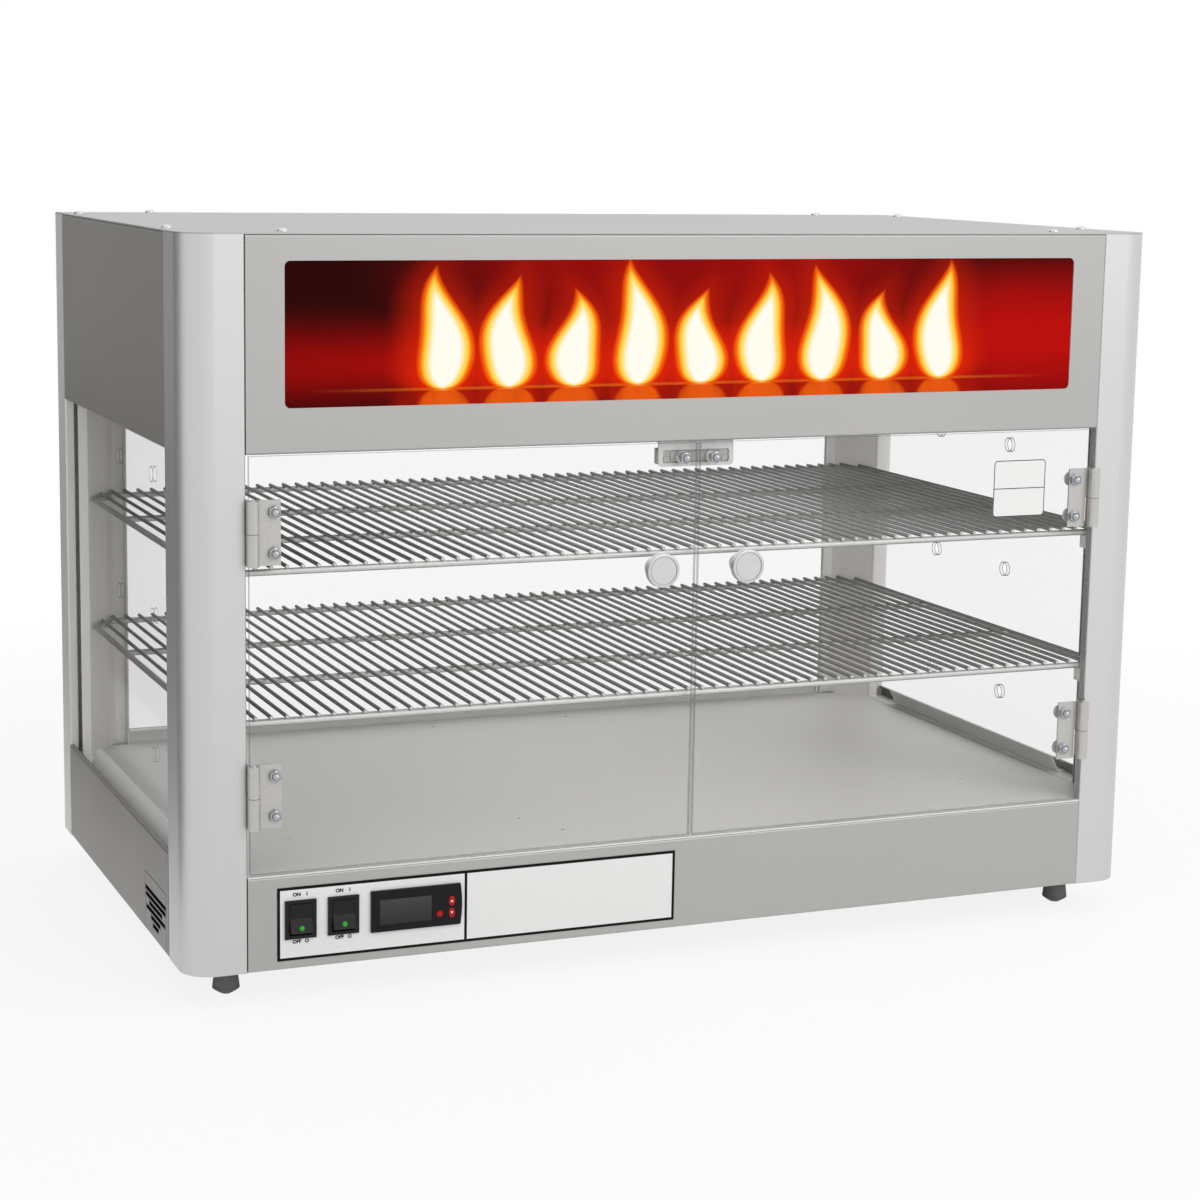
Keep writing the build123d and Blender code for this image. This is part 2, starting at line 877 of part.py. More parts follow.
with BuildPart() as upper_rack:
    with BuildLine():
        Polyline(*[(x, y, rack_z) for x, y in rack_outline], close=True)
    with BuildSketch(rod_start):
        RegularPolygon(rod_radius, rod_sides, major_radius=False, rotation=180 / rod_sides)
    sweep(transition=Transition.RIGHT)
    with BuildSketch(Plane.YZ):
        with Locations(*bar_spots):
            RegularPolygon(rod_radius, rod_sides, major_radius=False, rotation=180 / rod_sides)
    extrude(amount=rack_side, both=True)
    with BuildSketch(Plane.XZ.offset(-wire_end)):
        with Locations(*[(x, wire_z) for x in long_wires]):
            RegularPolygon(wire_radius, wire_sides, major_radius=False)
    extrude(amount=wire_end - wire_start)
    for x in short_wires:
        start = wire_start + max(0.0, abs(x) - corner_start)
        end = slant_rod_y(x) + short_wire_tail
        with BuildSketch(Plane.XZ.offset(-end)):
            with Locations((x, wire_z)):
                RegularPolygon(wire_radius, wire_sides, major_radius=False)
        extrude(amount=end - start)
keep("upper_rack", upper_rack.part)

with BuildPart() as lower_rack:
    with Locations((0, 0, lower_rack_level - upper_rack_level)):
        add(upper_rack.part)
keep("lower_rack", lower_rack.part)

# Rack brackets: small angles on the slanted covers and behind the edges of the front posts
with BuildPart() as left_brackets:
    for level in (upper_rack_level, lower_rack_level):
        seat_z = base_z + level - rod_radius
        slant_plane = Plane(
            origin=(
                -half_width + cover_flange_end + slant_run / 2,
                back_y - cover_flange_from_back + slant_rise / 2,
                seat_z,
            ),
            x_dir=(slant_rise, -slant_run, 0),
            z_dir=(-slant_run, -slant_rise, 0),
        )
        with BuildSketch(slant_plane):
            add(
                sheet_section(
                    [(0, -bracket_height), (0, 0), (bracket_reach, 0)],
                    Side.RIGHT,
                    thickness=bracket_sheet,
                )
            )
        extrude(amount=bracket_length / 2, both=True)
        with BuildSketch(Plane.XZ.offset(-front_y - front_bracket_end)):
            add(
                sheet_section(
                    [
                        (-post_edge - sheet, seat_z - bracket_height),
                        (-post_edge - sheet, seat_z),
                        (-post_edge - sheet - bracket_reach, seat_z),
                    ],
                    Side.LEFT,
                    thickness=bracket_sheet,
                )
            )
        extrude(amount=front_bracket_end - front_bracket_start)
with BuildPart() as rack_brackets:
    add(left_brackets.part)
    mirror(left_brackets.part, about=Plane.YZ)
keep("rack_brackets", rack_brackets.part)

# Doors: clear glass on lift-off hinges, each with a knob and a strike for the magnet
door_bottom = deck_z + door_bottom_clearance
door_top = header_z - door_clearance
door_outer = post_edge - door_edge
hinge_levels = [base_z + upper_hinge_level, base_z + lower_hinge_level]
bolt_x = -hinge_x + hinge_bolt_from_axis
bolt_spots = [
    (bolt_x, level + offset_z)
    for level in hinge_levels
    for offset_z in (-hinge_bolt_spacing / 2, hinge_bolt_spacing / 2)
]
knob_spot = (-knob_from_middle, base_z + knob_level)
strike_spot = (-strike_from_middle, base_z + strike_level)
back_plane = Plane.XZ.offset(-glass_back)
with BuildPart() as left_door_glass:
    with BuildSketch(back_plane):
        with Locations((-(door_outer + door_gap / 2) / 2, (door_bottom + door_top) / 2)):
            Rectangle(door_outer - door_gap / 2, door_top - door_bottom)
        with Locations(*bolt_spots, knob_spot, strike_spot):
            Circle(bolt_radius + bolt_clearance, mode=Mode.SUBTRACT)
    extrude(amount=door_glass)
keep("left_door_glass", left_door_glass.part)
keep("right_door_glass", mirrored(left_door_glass.part))

with BuildPart() as left_hinge_leaves:
    for level in hinge_levels:
        with BuildSketch(Plane.XY.offset(level + knuckle_gap / 2)):
            with Locations((-hinge_x, hinge_y)):
                Circle(hinge_radius)
            leaf_y = glass_front - hinge_leaf / 2
            with Locations((-hinge_x + hinge_leaf_width / 2, leaf_y)):
                Rectangle(hinge_leaf_width, hinge_leaf)
            with Locations((-hinge_x, hinge_y)):
                Circle(pin_radius + pin_running, mode=Mode.SUBTRACT)
        extrude(amount=(hinge_height - knuckle_gap) / 2)
        with BuildSketch(Plane.XY.offset(level - hinge_height / 2)):
            with Locations((-hinge_x + (hinge_leaf_width + leaf_notch) / 2, leaf_y)):
                Rectangle(hinge_leaf_width - leaf_notch, hinge_leaf)
        extrude(amount=(hinge_height + knuckle_gap) / 2)
    with BuildSketch(Plane.XZ.offset(-glass_front)):
        with Locations(*bolt_spots):
            Circle(bolt_radius + bolt_clearance)
    extrude(amount=hinge_leaf, mode=Mode.SUBTRACT)
keep("left_hinge_leaves", left_hinge_leaves.part)
keep("right_hinge_leaves", mirrored(left_hinge_leaves.part))

with BuildPart() as left_fixed_leaves:
    for level in hinge_levels:
        leaf_end = front_y + opening_return
        leaf_x = -post_edge + hinge_leaf / 2
        with BuildSketch(Plane.XY.offset(level - hinge_height / 2)):
            with Locations((-hinge_x, hinge_y)):
                Circle(hinge_radius)
            with Locations((leaf_x, (hinge_y + leaf_end) / 2)):
                Rectangle(hinge_leaf, leaf_end - hinge_y)
            with Locations((-hinge_x, hinge_y)):
                Circle(pin_radius, mode=Mode.SUBTRACT)
        extrude(amount=(hinge_height - knuckle_gap) / 2)
        upper_start = hinge_y + hinge_radius + door_proud
        with BuildSketch(Plane.XY.offset(level - knuckle_gap / 2)):
            with Locations((leaf_x, (upper_start + leaf_end) / 2)):
                Rectangle(hinge_leaf, leaf_end - upper_start)
        extrude(amount=(hinge_height + knuckle_gap) / 2)
with BuildPart() as hinge_fixed_leaves:
    add(left_fixed_leaves.part)
    mirror(left_fixed_leaves.part, about=Plane.YZ)
keep("hinge_fixed_leaves", hinge_fixed_leaves.part)

with BuildPart() as hinge_pins:
    for level in hinge_levels:
        with BuildSketch(Plane.XY.offset(level - hinge_height / 2)):
            with Locations((-hinge_x, hinge_y), (hinge_x, hinge_y)):
                Circle(pin_radius)
        extrude(amount=hinge_height + pin_proud)
    chamfer(hinge_pins.edges().filter_by(GeomType.CIRCLE).group_by(Axis.Z)[-1], pin_proud / 2)
keep("hinge_pins", hinge_pins.part)


def round_screw(spot, seat_y, length):
    # Washer and domed head behind the glass, with the shank running forward.
    plane = Plane(origin=(spot[0], seat_y, spot[1]), x_dir=(1, 0, 0), z_dir=(0, 1, 0))
    with BuildPart() as screw:
        with BuildSketch(plane):
            Circle(washer_radius)
        extrude(amount=washer_thickness)
        with BuildSketch(plane.offset(washer_thickness)):
            Circle(bolt_head_radius)
        extrude(amount=bolt_head_height)
        chamfer(screw.edges().group_by(Axis.Y)[-1], bolt_head_chamfer)
        with BuildSketch(plane):
            Circle(bolt_radius)
        extrude(amount=-length)
    return screw.part


def acorn_nut(spot, seat_y):
    # Six-sided foot with a tapered closed end, bored for the screw.
    plane = Plane(origin=(spot[0], seat_y, spot[1]), x_dir=(1, 0, 0), z_dir=(0, -1, 0))
    with BuildPart() as nut:
        with BuildSketch(plane):
            RegularPolygon(nut_width / 2, hex_sides, major_radius=False)
        extrude(amount=nut_height)
        with BuildSketch(plane.offset(nut_height)):
            Circle(nut_dome_radius)
        extrude(amount=nut_dome_height, taper=nut_dome_taper)
        with BuildSketch(plane):
            Circle(bolt_radius)
        extrude(amount=nut_height + nut_bore_extra, mode=Mode.SUBTRACT)
    return nut.part


bolt_length = door_glass + hinge_leaf + nut_height
strike_length = door_glass + nut_height
with BuildPart() as left_door_fixings:
    for spot in bolt_spots:
        add(round_screw(spot, glass_back, bolt_length))
        add(acorn_nut(spot, glass_front - hinge_leaf))
    add(acorn_nut(strike_spot, glass_front))
    add(round_screw(knob_spot, glass_back, door_glass + knob_screw_depth))
keep("left_door_fixings", left_door_fixings.part)
keep("right_door_fixings", mirrored(left_door_fixings.part))

strike_plane = Plane(origin=(strike_spot[0], glass_back, strike_spot[1]), x_dir=(1, 0, 0), z_dir=(0, 1, 0))
with BuildPart() as left_strike:
    with BuildSketch(strike_plane):
        Circle(strike_radius)
    extrude(amount=strike_thickness)
    with BuildSketch(strike_plane):
        Circle(bolt_radius)
    extrude(amount=-strike_length)
    chamfer(left_strike.edges().group_by(Axis.Y)[-1], strike_chamfer)
keep("left_strike", left_strike.part)
keep("right_strike", mirrored(left_strike.part))

knob_axis = Axis((knob_spot[0], glass_front, knob_spot[1]), (0, 1, 0))
knob_plane = Plane(origin=(knob_spot[0], glass_front, knob_spot[1]), x_dir=(1, 0, 0), z_dir=(0, 0, 1))
with BuildPart() as left_knob:
    with BuildSketch(knob_plane):
        with BuildLine():
            rim_y = -(knob_height - knob_rim)
            face_radius = knob_radius - knob_ring
            dish_y = -knob_height + knob_recess
            Polyline(
                (0, 0),
                (knob_foot_radius, 0),
                (knob_foot_radius, -knob_foot_height),
                (knob_stem_radius, -knob_foot_height - knob_foot_slope),
                (knob_stem_radius, rim_y + knob_flare),
                (knob_radius, rim_y),
                (knob_radius, -knob_height + knob_edge),
                (knob_radius - knob_edge, -knob_height),
                (face_radius, -knob_height),
                (face_radius - knob_ring_slope, dish_y),
                (0, dish_y),
                close=True,
            )
        make_face()
    revolve(axis=knob_axis)
    with BuildSketch(Plane.XZ.offset(-glass_front)):
        with Locations(knob_spot):
            Circle(bolt_radius)
    extrude(amount=knob_screw_depth, mode=Mode.SUBTRACT)
keep("left_knob", left_knob.part)
keep("right_knob", mirrored(left_knob.part))

# Catch: a windowed plate hangs from the header, with the magnet housing behind its window
catch_front = glass_back + strike_thickness + strike_gap
catch_z = base_z + strike_level
catch_seat = catch_front + catch_sheet
with BuildPart() as catch_bracket:
    with BuildSketch(Plane.YZ):
        add(
            sheet_section(
                [
                    (catch_front, catch_z - catch_drop),
                    (catch_front, header_z),
                    (catch_front + catch_flange, header_z),
                ],
                Side.RIGHT,
                radii=[catch_fold_radius],
                thickness=catch_sheet,
            )
        )
    extrude(amount=catch_width / 2, both=True)
    corner_edges = catch_bracket.edges().filter_by(Axis.Y).group_by(Axis.Z)[0]
    fillet(corner_edges, catch_corner)
    with BuildSketch(Plane.XZ.offset(-catch_front)):
        with Locations((0, catch_z)):
            RectangleRounded(catch_slot_width, catch_slot_height, catch_slot_corner)
    extrude(amount=-catch_sheet, mode=Mode.SUBTRACT)
keep("catch_bracket", catch_bracket.part)

with BuildPart() as catch_housing:
    with BuildSketch(Plane.XZ.offset(-catch_seat)):
        with Locations((0, catch_z)):
            Rectangle(catch_width, catch_height)
    extrude(amount=-catch_depth)
    with BuildSketch(Plane.XZ.offset(-catch_seat)):
        with GridLocations(catch_slot_width - catch_pocket_width, 0, 2, 1):
            with Locations((0, catch_z)):
                Rectangle(catch_pocket_width, catch_pocket_height)
    extrude(amount=-catch_pocket_depth, mode=Mode.SUBTRACT)
keep("catch_housing", catch_housing.part)

# Control plate on the base's front
plate_x = -plate_left + plate_width / 2
plate_z = base_z + plate_level + plate_height / 2
with BuildPart() as control_plate:
    with BuildSketch(Plane.XZ.offset(-front_y)):
        with Locations((plate_x, plate_z)):
            Rectangle(plate_width, plate_height)
        with Locations(*[(x, control_z) for x in switch_x]):
            Rectangle(
                switch_body_width + 2 * cutout_clearance,
                switch_body_height + 2 * cutout_clearance,
                mode=Mode.SUBTRACT,
            )
        with Locations((controller_x, control_z)):
            Rectangle(
                controller_body_width + 2 * cutout_clearance,
                controller_body_height + 2 * cutout_clearance,
                mode=Mode.SUBTRACT,
            )
    extrude(amount=plate_thickness)
keep("control_plate", control_plate.part)


# Rocker switches
pivot_y = plate_front + rocker_pivot_depth
with BuildPart() as switch_housings:
    for x in switch_x:
        with BuildSketch(Plane.XZ.offset(-plate_front)):
            with Locations((x, control_z)):
                Rectangle(bezel_width, bezel_height)
        extrude(amount=bezel_thickness)
        with BuildSketch(Plane.XZ.offset(-plate_front)):
            with Locations((x, control_z)):
                Rectangle(switch_body_width, switch_body_height)
        extrude(amount=-switch_body_depth)
        with BuildSketch(Plane.XZ.offset(-plate_front + bezel_thickness)):
            with Locations((x, control_z)):
                Rectangle(switch_opening_width, switch_opening_height)
        extrude(amount=-bezel_thickness - switch_pocket_depth, mode=Mode.SUBTRACT)
        with BuildSketch(Plane(origin=(x, pivot_y, control_z), x_dir=(0, 1, 0), z_dir=(1, 0, 0))):
            Circle(rocker_pin_radius + rocker_running)
        extrude(
            amount=rocker_width / 2 + rocker_pin_length + cutout_clearance / 2,
            both=True,
            mode=Mode.SUBTRACT,
        )
keep("switch_housings", switch_housings.part)


def rocker(x):
    # Shallow V face on a keel, tilted so that its top is pressed in, with a round pilot lens.
    tilt = math.radians(-rocker_tilt)
    plane = Plane(
        origin=(x, pivot_y, control_z),
        x_dir=(0, math.cos(tilt), math.sin(tilt)),
        z_dir=(1, 0, 0),
    )
    with BuildPart() as body:
        with BuildSketch(plane):
            with BuildLine():
                Polyline(
                    (-rocker_tip, rocker_half_height),
                    (-rocker_waist, 0),
                    (-rocker_tip, -rocker_half_height),
                    (rocker_back, -rocker_half_height),
                    (rocker_keel, -rocker_keel_half),
                    (rocker_keel, rocker_keel_half),
                    (rocker_back, rocker_half_height),
                    close=True,
                )
            make_face()
        extrude(amount=rocker_width / 2, both=True)
        with BuildSketch(plane):
            Circle(rocker_pin_radius)
        extrude(amount=rocker_width / 2 + rocker_pin_length, both=True)
        face_slope = math.atan2(rocker_tip - rocker_waist, rocker_half_height)
        face_y = -rocker_waist - lens_drop * math.tan(face_slope)
        lens_centre = plane.from_local_coords(Vector(face_y, -lens_drop, 0))
        out = plane.from_local_coords(Vector(face_y - 1, -lens_drop + math.tan(face_slope), 0))
        lens_plane = Plane(origin=lens_centre, x_dir=(1, 0, 0), z_dir=out - lens_centre)
        with BuildSketch(lens_plane):
            Circle(lens_radius)
        extrude(amount=lens_height)
    return body.part


keep("light_rocker", rocker(switch_x[0]))
keep("heat_rocker", rocker(switch_x[1]))

# Temperature controller
controller_front = plate_front - controller_bezel
controller_top = control_z + controller_height / 2
window_x = -controller_left + window_from_left + window_width / 2
window_z = control_z - window_drop
button_x = -controller_left + button_column
button_set_x = -controller_left + button_set_column
button_spots = [
    ("up_button", button_x, controller_top - button_upper_drop, button_width, button_height),
    ("down_button", button_x, controller_top - button_lower_drop, button_width, button_height),
    ("set_button", button_set_x, controller_top - button_lower_drop, button_set_width, button_set_width),
]
pocket_depth = button_depth + button_travel + button_floor
with BuildPart() as controller_body:
    with BuildSketch(Plane.XZ.offset(-plate_front)):
        with BuildLine():
            left_x = -controller_left
            right_x = left_x + controller_width - controller_bulge
            bottom_z = control_z - controller_height / 2
            Line((right_x, controller_top), (left_x, controller_top))
            Line((left_x, controller_top), (left_x, bottom_z))
            Line((left_x, bottom_z), (right_x, bottom_z))
            ThreePointArc(
                (right_x, bottom_z), (right_x + controller_bulge, control_z), (right_x, controller_top)
            )
        make_face()
    extrude(amount=controller_bezel)
    chamfer(controller_body.faces().sort_by(Axis.Y)[0].edges(), controller_chamfer)
    with BuildSketch(Plane.XZ.offset(-plate_front)):
        with Locations((controller_x, control_z)):
            Rectangle(controller_body_width, controller_body_height)
    extrude(amount=-controller_body_depth)
    with BuildSketch(Plane.XZ.offset(-controller_front)):
        with Locations((window_x, window_z)):
            Rectangle(window_width, window_height)
    extrude(amount=-window_depth, mode=Mode.SUBTRACT)
    with BuildSketch(Plane.XZ.offset(-controller_front)):
        for name, x, z, width, height in button_spots:
            with Locations((x, z)):
                Ellipse(width / 2 + button_clearance, height / 2 + button_clearance)
    extrude(amount=-pocket_depth, mode=Mode.SUBTRACT)
keep("controller_body", controller_body.part)

with BuildPart() as controller_window:
    with BuildSketch(Plane.XZ.offset(-controller_front - window_depth)):
        with Locations((window_x, window_z)):
            Rectangle(window_width - 2 * window_clearance, window_height - 2 * window_clearance)
    extrude(amount=window_depth)
keep("controller_window", controller_window.part)

for name, x, z, width, height in button_spots:
    with BuildPart() as button:
        with BuildSketch(Plane.XZ.offset(-controller_front - button_depth)):
            with Locations((x, z)):
                Ellipse(width / 2, height / 2)
        extrude(amount=button_depth + button_proud)
    keep(name, button.part)

# Heating element, limit thermostat and sensor on the underside of the deck
deck_under = deck_z - sheet
element_z = deck_under - contact_gap - element_radius
element_points = []
element_step = element_depth / element_legs
element_y = front_y + element_from_front
for leg in range(element_legs + 1):
    near, far = (-1, 1) if leg % 2 == 0 else (1, -1)
    y = element_y + leg * element_step
    element_points.append((near * element_width / 2, y, element_z))
    element_points.append((far * element_width / 2, y, element_z))
with BuildPart() as heating_element:
    with BuildLine():
        FilletPolyline(*element_points, radius=element_step * element_bend_share)
    element_start = Plane(origin=element_points[0], x_dir=(0, 1, 0), z_dir=(1, 0, 0))
    with BuildSketch(element_start):
        RegularPolygon(element_radius, hex_sides, major_radius=False)
    sweep()
keep("heating_element", heating_element.part)

thermostat_y = element_y + element_step / 2
with BuildPart() as limit_thermostat:
    with BuildSketch(Plane.XY.offset(deck_under - thermostat_flange_thickness)):
        with Locations((0, thermostat_y)):
            SlotOverall(2 * thermostat_flange + thermostat_radius, thermostat_radius)
    extrude(amount=thermostat_flange_thickness)
    with BuildSketch(Plane.XY.offset(deck_under - thermostat_height)):
        with Locations((0, thermostat_y)):
            Circle(thermostat_radius)
    extrude(amount=thermostat_height - contact_gap)
keep("limit_thermostat", limit_thermostat.part)

probe_start = Plane(
    origin=(probe_from_middle, thermostat_y, deck_under - contact_gap - probe_radius),
    x_dir=(0, 1, 0),
    z_dir=(1, 0, 0),
)
with BuildPart() as temperature_probe:
    with BuildSketch(probe_start):
        Circle(probe_radius)
    extrude(amount=probe_length)
    chamfer(temperature_probe.faces().sort_by(Axis.X)[-1].edges(), probe_chamfer)
keep("temperature_probe", temperature_probe.part)

# Cord gland in the rear of the base
gland_plane = Plane(origin=(gland_x, back_y, gland_z), x_dir=(1, 0, 0), z_dir=(0, 1, 0))
with BuildPart() as cord_gland:
    with BuildSketch(gland_plane):
        Circle(gland_flange_radius)
    extrude(amount=gland_flange)
    with BuildSketch(gland_plane.offset(gland_flange)):
        Circle(gland_nose_radius)
    extrude(amount=gland_reach - gland_flange, taper=gland_nose_taper)
    with BuildSketch(gland_plane):
        Circle(gland_hole_radius)
    extrude(amount=-gland_tail)
    with BuildSketch(gland_plane.offset(gland_reach)):
        Circle(gland_bore_radius)
    extrude(amount=-gland_reach - gland_tail, mode=Mode.SUBTRACT)
keep("cord_gland", cord_gland.part)

# Rubber feet with their screws and nuts
screw_above_pan = sheet + foot_nut_height + foot_screw_past_nut
with BuildPart() as one_foot:
    with BuildSketch(Plane.XZ):
        with BuildLine():
            Line((0, 0), (foot_sole_radius, 0))
            Line((foot_sole_radius, 0), (foot_shoulder_radius, foot_shoulder_level))
            Line((foot_shoulder_radius, foot_shoulder_level), (foot_radius, foot_widest_level))
            Line((foot_radius, foot_widest_level), (foot_top_radius, pan_z))
            Line((foot_top_radius, pan_z), (0, pan_z))
            Line((0, pan_z), (0, 0))
        make_face()
    revolve(axis=Axis.Z)
    with BuildSketch(Plane.XY.offset(pan_z)):
        Circle(foot_screw_radius)
    extrude(amount=-foot_screw_length + screw_above_pan, mode=Mode.SUBTRACT)
with BuildPart() as feet:
    with Locations(*foot_spots):
        add(one_foot.part)
keep("feet", feet.part)

with BuildPart() as foot_screws:
    with BuildSketch(Plane.XY.offset(pan_z + screw_above_pan)):
        with Locations(*foot_spots):
            Circle(foot_screw_radius)
    extrude(amount=-foot_screw_length)
    with BuildSketch(Plane.XY.offset(pan_z + sheet)):
        with Locations(*foot_spots):
            RegularPolygon(foot_nut_width / 2, hex_sides, major_radius=False)
    extrude(amount=foot_nut_height)
keep("foot_screws", foot_screws.part)

for name, part in pieces:
    export_step(part, f"parts/{name}.step")
print(len(pieces), "nodes")
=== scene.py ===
import math
import bpy
import numpy as np
from mathutils import Matrix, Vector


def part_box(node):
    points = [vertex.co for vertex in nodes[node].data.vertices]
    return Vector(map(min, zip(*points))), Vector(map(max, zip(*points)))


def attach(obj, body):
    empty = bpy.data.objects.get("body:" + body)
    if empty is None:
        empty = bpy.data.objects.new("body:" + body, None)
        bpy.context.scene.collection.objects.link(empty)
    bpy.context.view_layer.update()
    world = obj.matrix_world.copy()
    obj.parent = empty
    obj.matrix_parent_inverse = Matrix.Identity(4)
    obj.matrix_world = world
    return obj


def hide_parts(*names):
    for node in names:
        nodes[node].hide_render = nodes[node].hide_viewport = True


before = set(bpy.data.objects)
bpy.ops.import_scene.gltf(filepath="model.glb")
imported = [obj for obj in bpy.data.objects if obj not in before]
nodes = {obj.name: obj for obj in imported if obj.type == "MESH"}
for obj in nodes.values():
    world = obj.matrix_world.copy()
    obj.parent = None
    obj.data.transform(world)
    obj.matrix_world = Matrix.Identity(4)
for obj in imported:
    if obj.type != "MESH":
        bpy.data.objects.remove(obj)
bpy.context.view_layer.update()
mm = 0.001
print("frame loaded:", len(nodes), "nodes")


class Look(dict):
    # a dictionary whose values also read as attributes
    __getattr__ = dict.__getitem__


# Shader maths

class Sock:
    # wraps one output socket, so that ordinary arithmetic adds Math nodes
    def __init__(self, shader, socket):
        self.shader = shader
        self.socket = socket

    def math(self, operation, *others):
        inputs = dict(enumerate((self, *others)))
        return self.shader.node("ShaderNodeMath", {"operation": operation}, inputs)

    def __rsub__(self, other):
        return (self * -1.0).math("ADD", other)

    def step(self, low, high):
        # 0 below low, 1 above high, smooth between
        settings = {"interpolation_type": "SMOOTHSTEP"}
        inputs = {"Value": self, "From Min": low, "From Max": high}
        return self.shader.node("ShaderNodeMapRange", settings, inputs)

    def near(self, middle, low, high):
        # 1 within low of the middle, 0 past high from it
        return 1.0 - abs(self - middle).step(low, high)


mathNames = {"__add__": "ADD", "__sub__": "SUBTRACT", "__mul__": "MULTIPLY", "__truediv__": "DIVIDE",
             "__abs__": "ABSOLUTE", "sin": "SINE", "smallest": "MINIMUM", "largest": "MAXIMUM",
             "power": "POWER"}
for name, operation in mathNames.items():
    setattr(Sock, name, lambda self, *others, operation=operation: self.math(operation, *others))


def linear(code):
    # turns a #rrggbb screen colour into linear light
    parts = [int(code[i:i + 2], 16) / 255 for i in (1, 3, 5)]
    return tuple(p / 12.92 if p <= 0.04045 else ((p + 0.055) / 1.055) ** 2.4 for p in parts)


def darker(code, share):
    # the same colour with its light cut to a share
    return tuple(part * share for part in linear(code))


finishes = {}


class Shader:
    def __init__(self, name, owner=None):
        # a new material, or the world when that is given
        self.name = name
        self.owner = bpy.data.materials.new(name) if owner is None else owner
        self.owner.use_nodes = True
        self.tree = self.owner.node_tree
        self.tree.nodes.clear()

    def node(self, kind, settings=None, inputs=None, out=0):
        # adds a node, sets it up and returns one wrapped output; a socket takes another output, a number,
        # a vector, or a colour as linear light or as a code
        made = self.tree.nodes.new(kind)
        for key, value in (settings or {}).items():
            setattr(made, key, value)
        for key, value in (inputs or {}).items():
            socket = made.inputs[key]
            value = linear(value) if isinstance(value, str) else value
            if isinstance(value, Sock):
                self.tree.links.new(value.socket, socket)
            elif isinstance(value, tuple) and socket.type == "RGBA":
                socket.default_value = (*value, 1.0)
            else:
                socket.default_value = value
        return None if out is None else Sock(self, made.outputs[out])

    def place(self, axis=None):
        # the point in the object's own space, or one of its numbers
        point = self.node("ShaderNodeTexCoord", out="Object")
        if axis is None:
            return point
        return self.node("ShaderNodeSeparateXYZ", None, {0: point}, out=axis)

    def noise(self, scale, detail=3.0, roughness=0.5, stretch=(1, 1, 1)):
        mapped = self.node("ShaderNodeMapping", None, {"Vector": self.place(), "Scale": stretch})
        inputs = {"Vector": mapped, "Scale": scale, "Detail": detail, "Roughness": roughness}
        return self.node("ShaderNodeTexNoise", None, inputs)

    def mix(self, amount, first, second):
        # blends two colours
        settings = {"data_type": "RGBA"}
        return self.node("ShaderNodeMix", settings, {0: amount, 6: first, 7: second}, out=2)

    def scaled(self, colour, amount):
        # a colour times one varying number
        settings = {"operation": "SCALE"}
        return self.node("ShaderNodeVectorMath", settings, {0: colour, "Scale": amount})

    def bump(self, height, distance, strength):
        inputs = {"Height": height, "Distance": distance, "Strength": strength}
        return self.node("ShaderNodeBump", None, inputs)

    def principled(self, **inputs):
        named = {key.replace("_", " "): value for key, value in inputs.items()}
        return self.node("ShaderNodeBsdfPrincipled", None, named)

    def surface(self, **inputs):
        return self.finish(self.principled(**inputs))

    def seenRays(self):
        # 1 for rays from the camera, off gloss or through glass
        path = self.node("ShaderNodeLightPath")
        rays = [Sock(self, path.socket.node.outputs[name])
                for name in ("Is Camera Ray", "Is Glossy Ray", "Is Transmission Ray")]
        return rays[0].largest(rays[1]).largest(rays[2])

    def finish(self, surface, kind="ShaderNodeOutputMaterial"):
        # joins the surface to the output and keeps the result under its name
        self.node(kind, None, {"Surface": surface}, out=None)
        finishes[self.name] = self.owner
        return self.owner


# Metals

steelLook = Look({
    "metallic": 0.6,
    "roughness": 0.42,
    "roughnessSpread": 0.10,
    "grainSize": 900.0,    # brushed lines across the grain, per metre
    "grainStretch": 60.0,  # how much longer a brushed line is than it is wide
    "grainDepth": 0.012 * mm,
    "bumpStrength": 0.35,
    "cloudSize": 5.0,
    "cloudGloss": 0.08,
    "colourSpread": 0.05,
})


def brushedGrain(shader, grain):
    # fine noise drawn out along the grain
    long = 1 / steelLook.grainStretch
    stretch = {"x": (long, 1, 1), "y": (1, long, 1), "z": (1, 1, long)}[grain]
    return shader.noise(steelLook.grainSize, detail=4.0, roughness=0.6, stretch=stretch)


def brushedSteel(name, colour, grain="x", metallic=steelLook.metallic, roughness=steelLook.roughness):
    # brushed sheet: the tone is one plus grain and clouds, each about zero and times the colour spread; the
    # gloss moves with both in the same way, and the grain gives a very slight bump
    look = steelLook
    shader = Shader(name)
    lines = brushedGrain(shader, grain)
    clouds = shader.noise(look.cloudSize)
    tone = (lines - 0.5) * look.colourSpread + (clouds - 0.5) * look.colourSpread + 1.0
    gloss = (lines - 0.5) * look.roughnessSpread + (clouds - 0.5) * look.cloudGloss
    return shader.surface(
        Base_Color=shader.scaled(colour, tone), Metallic=metallic, Roughness=gloss + roughness,
        Normal=shader.bump(lines, look.grainDepth, look.bumpStrength))


ventLook = Look({
    # the side panels' darker steel: painted shade
    "colour": "#8c8985",
    "dark": "#141414",
    "seam": 1.0 * mm,        # dark joint round the plate
    "fade": 0.1 * mm,        # width over which dark turns to light
    "middleY": -130.6 * mm,
    "firstSlot": 39.0 * mm,  # height of the lowest slot
    "slotPitch": 5.2 * mm,
    "slotHalfHeight": 1.65 * mm,
    "slotLengths": (20.0, 33.0, 65.4, 45.0, 68.7, 71.0),
    "shade": 0.7 * mm,       # how far the painted shade of a slot spreads past its edge
})


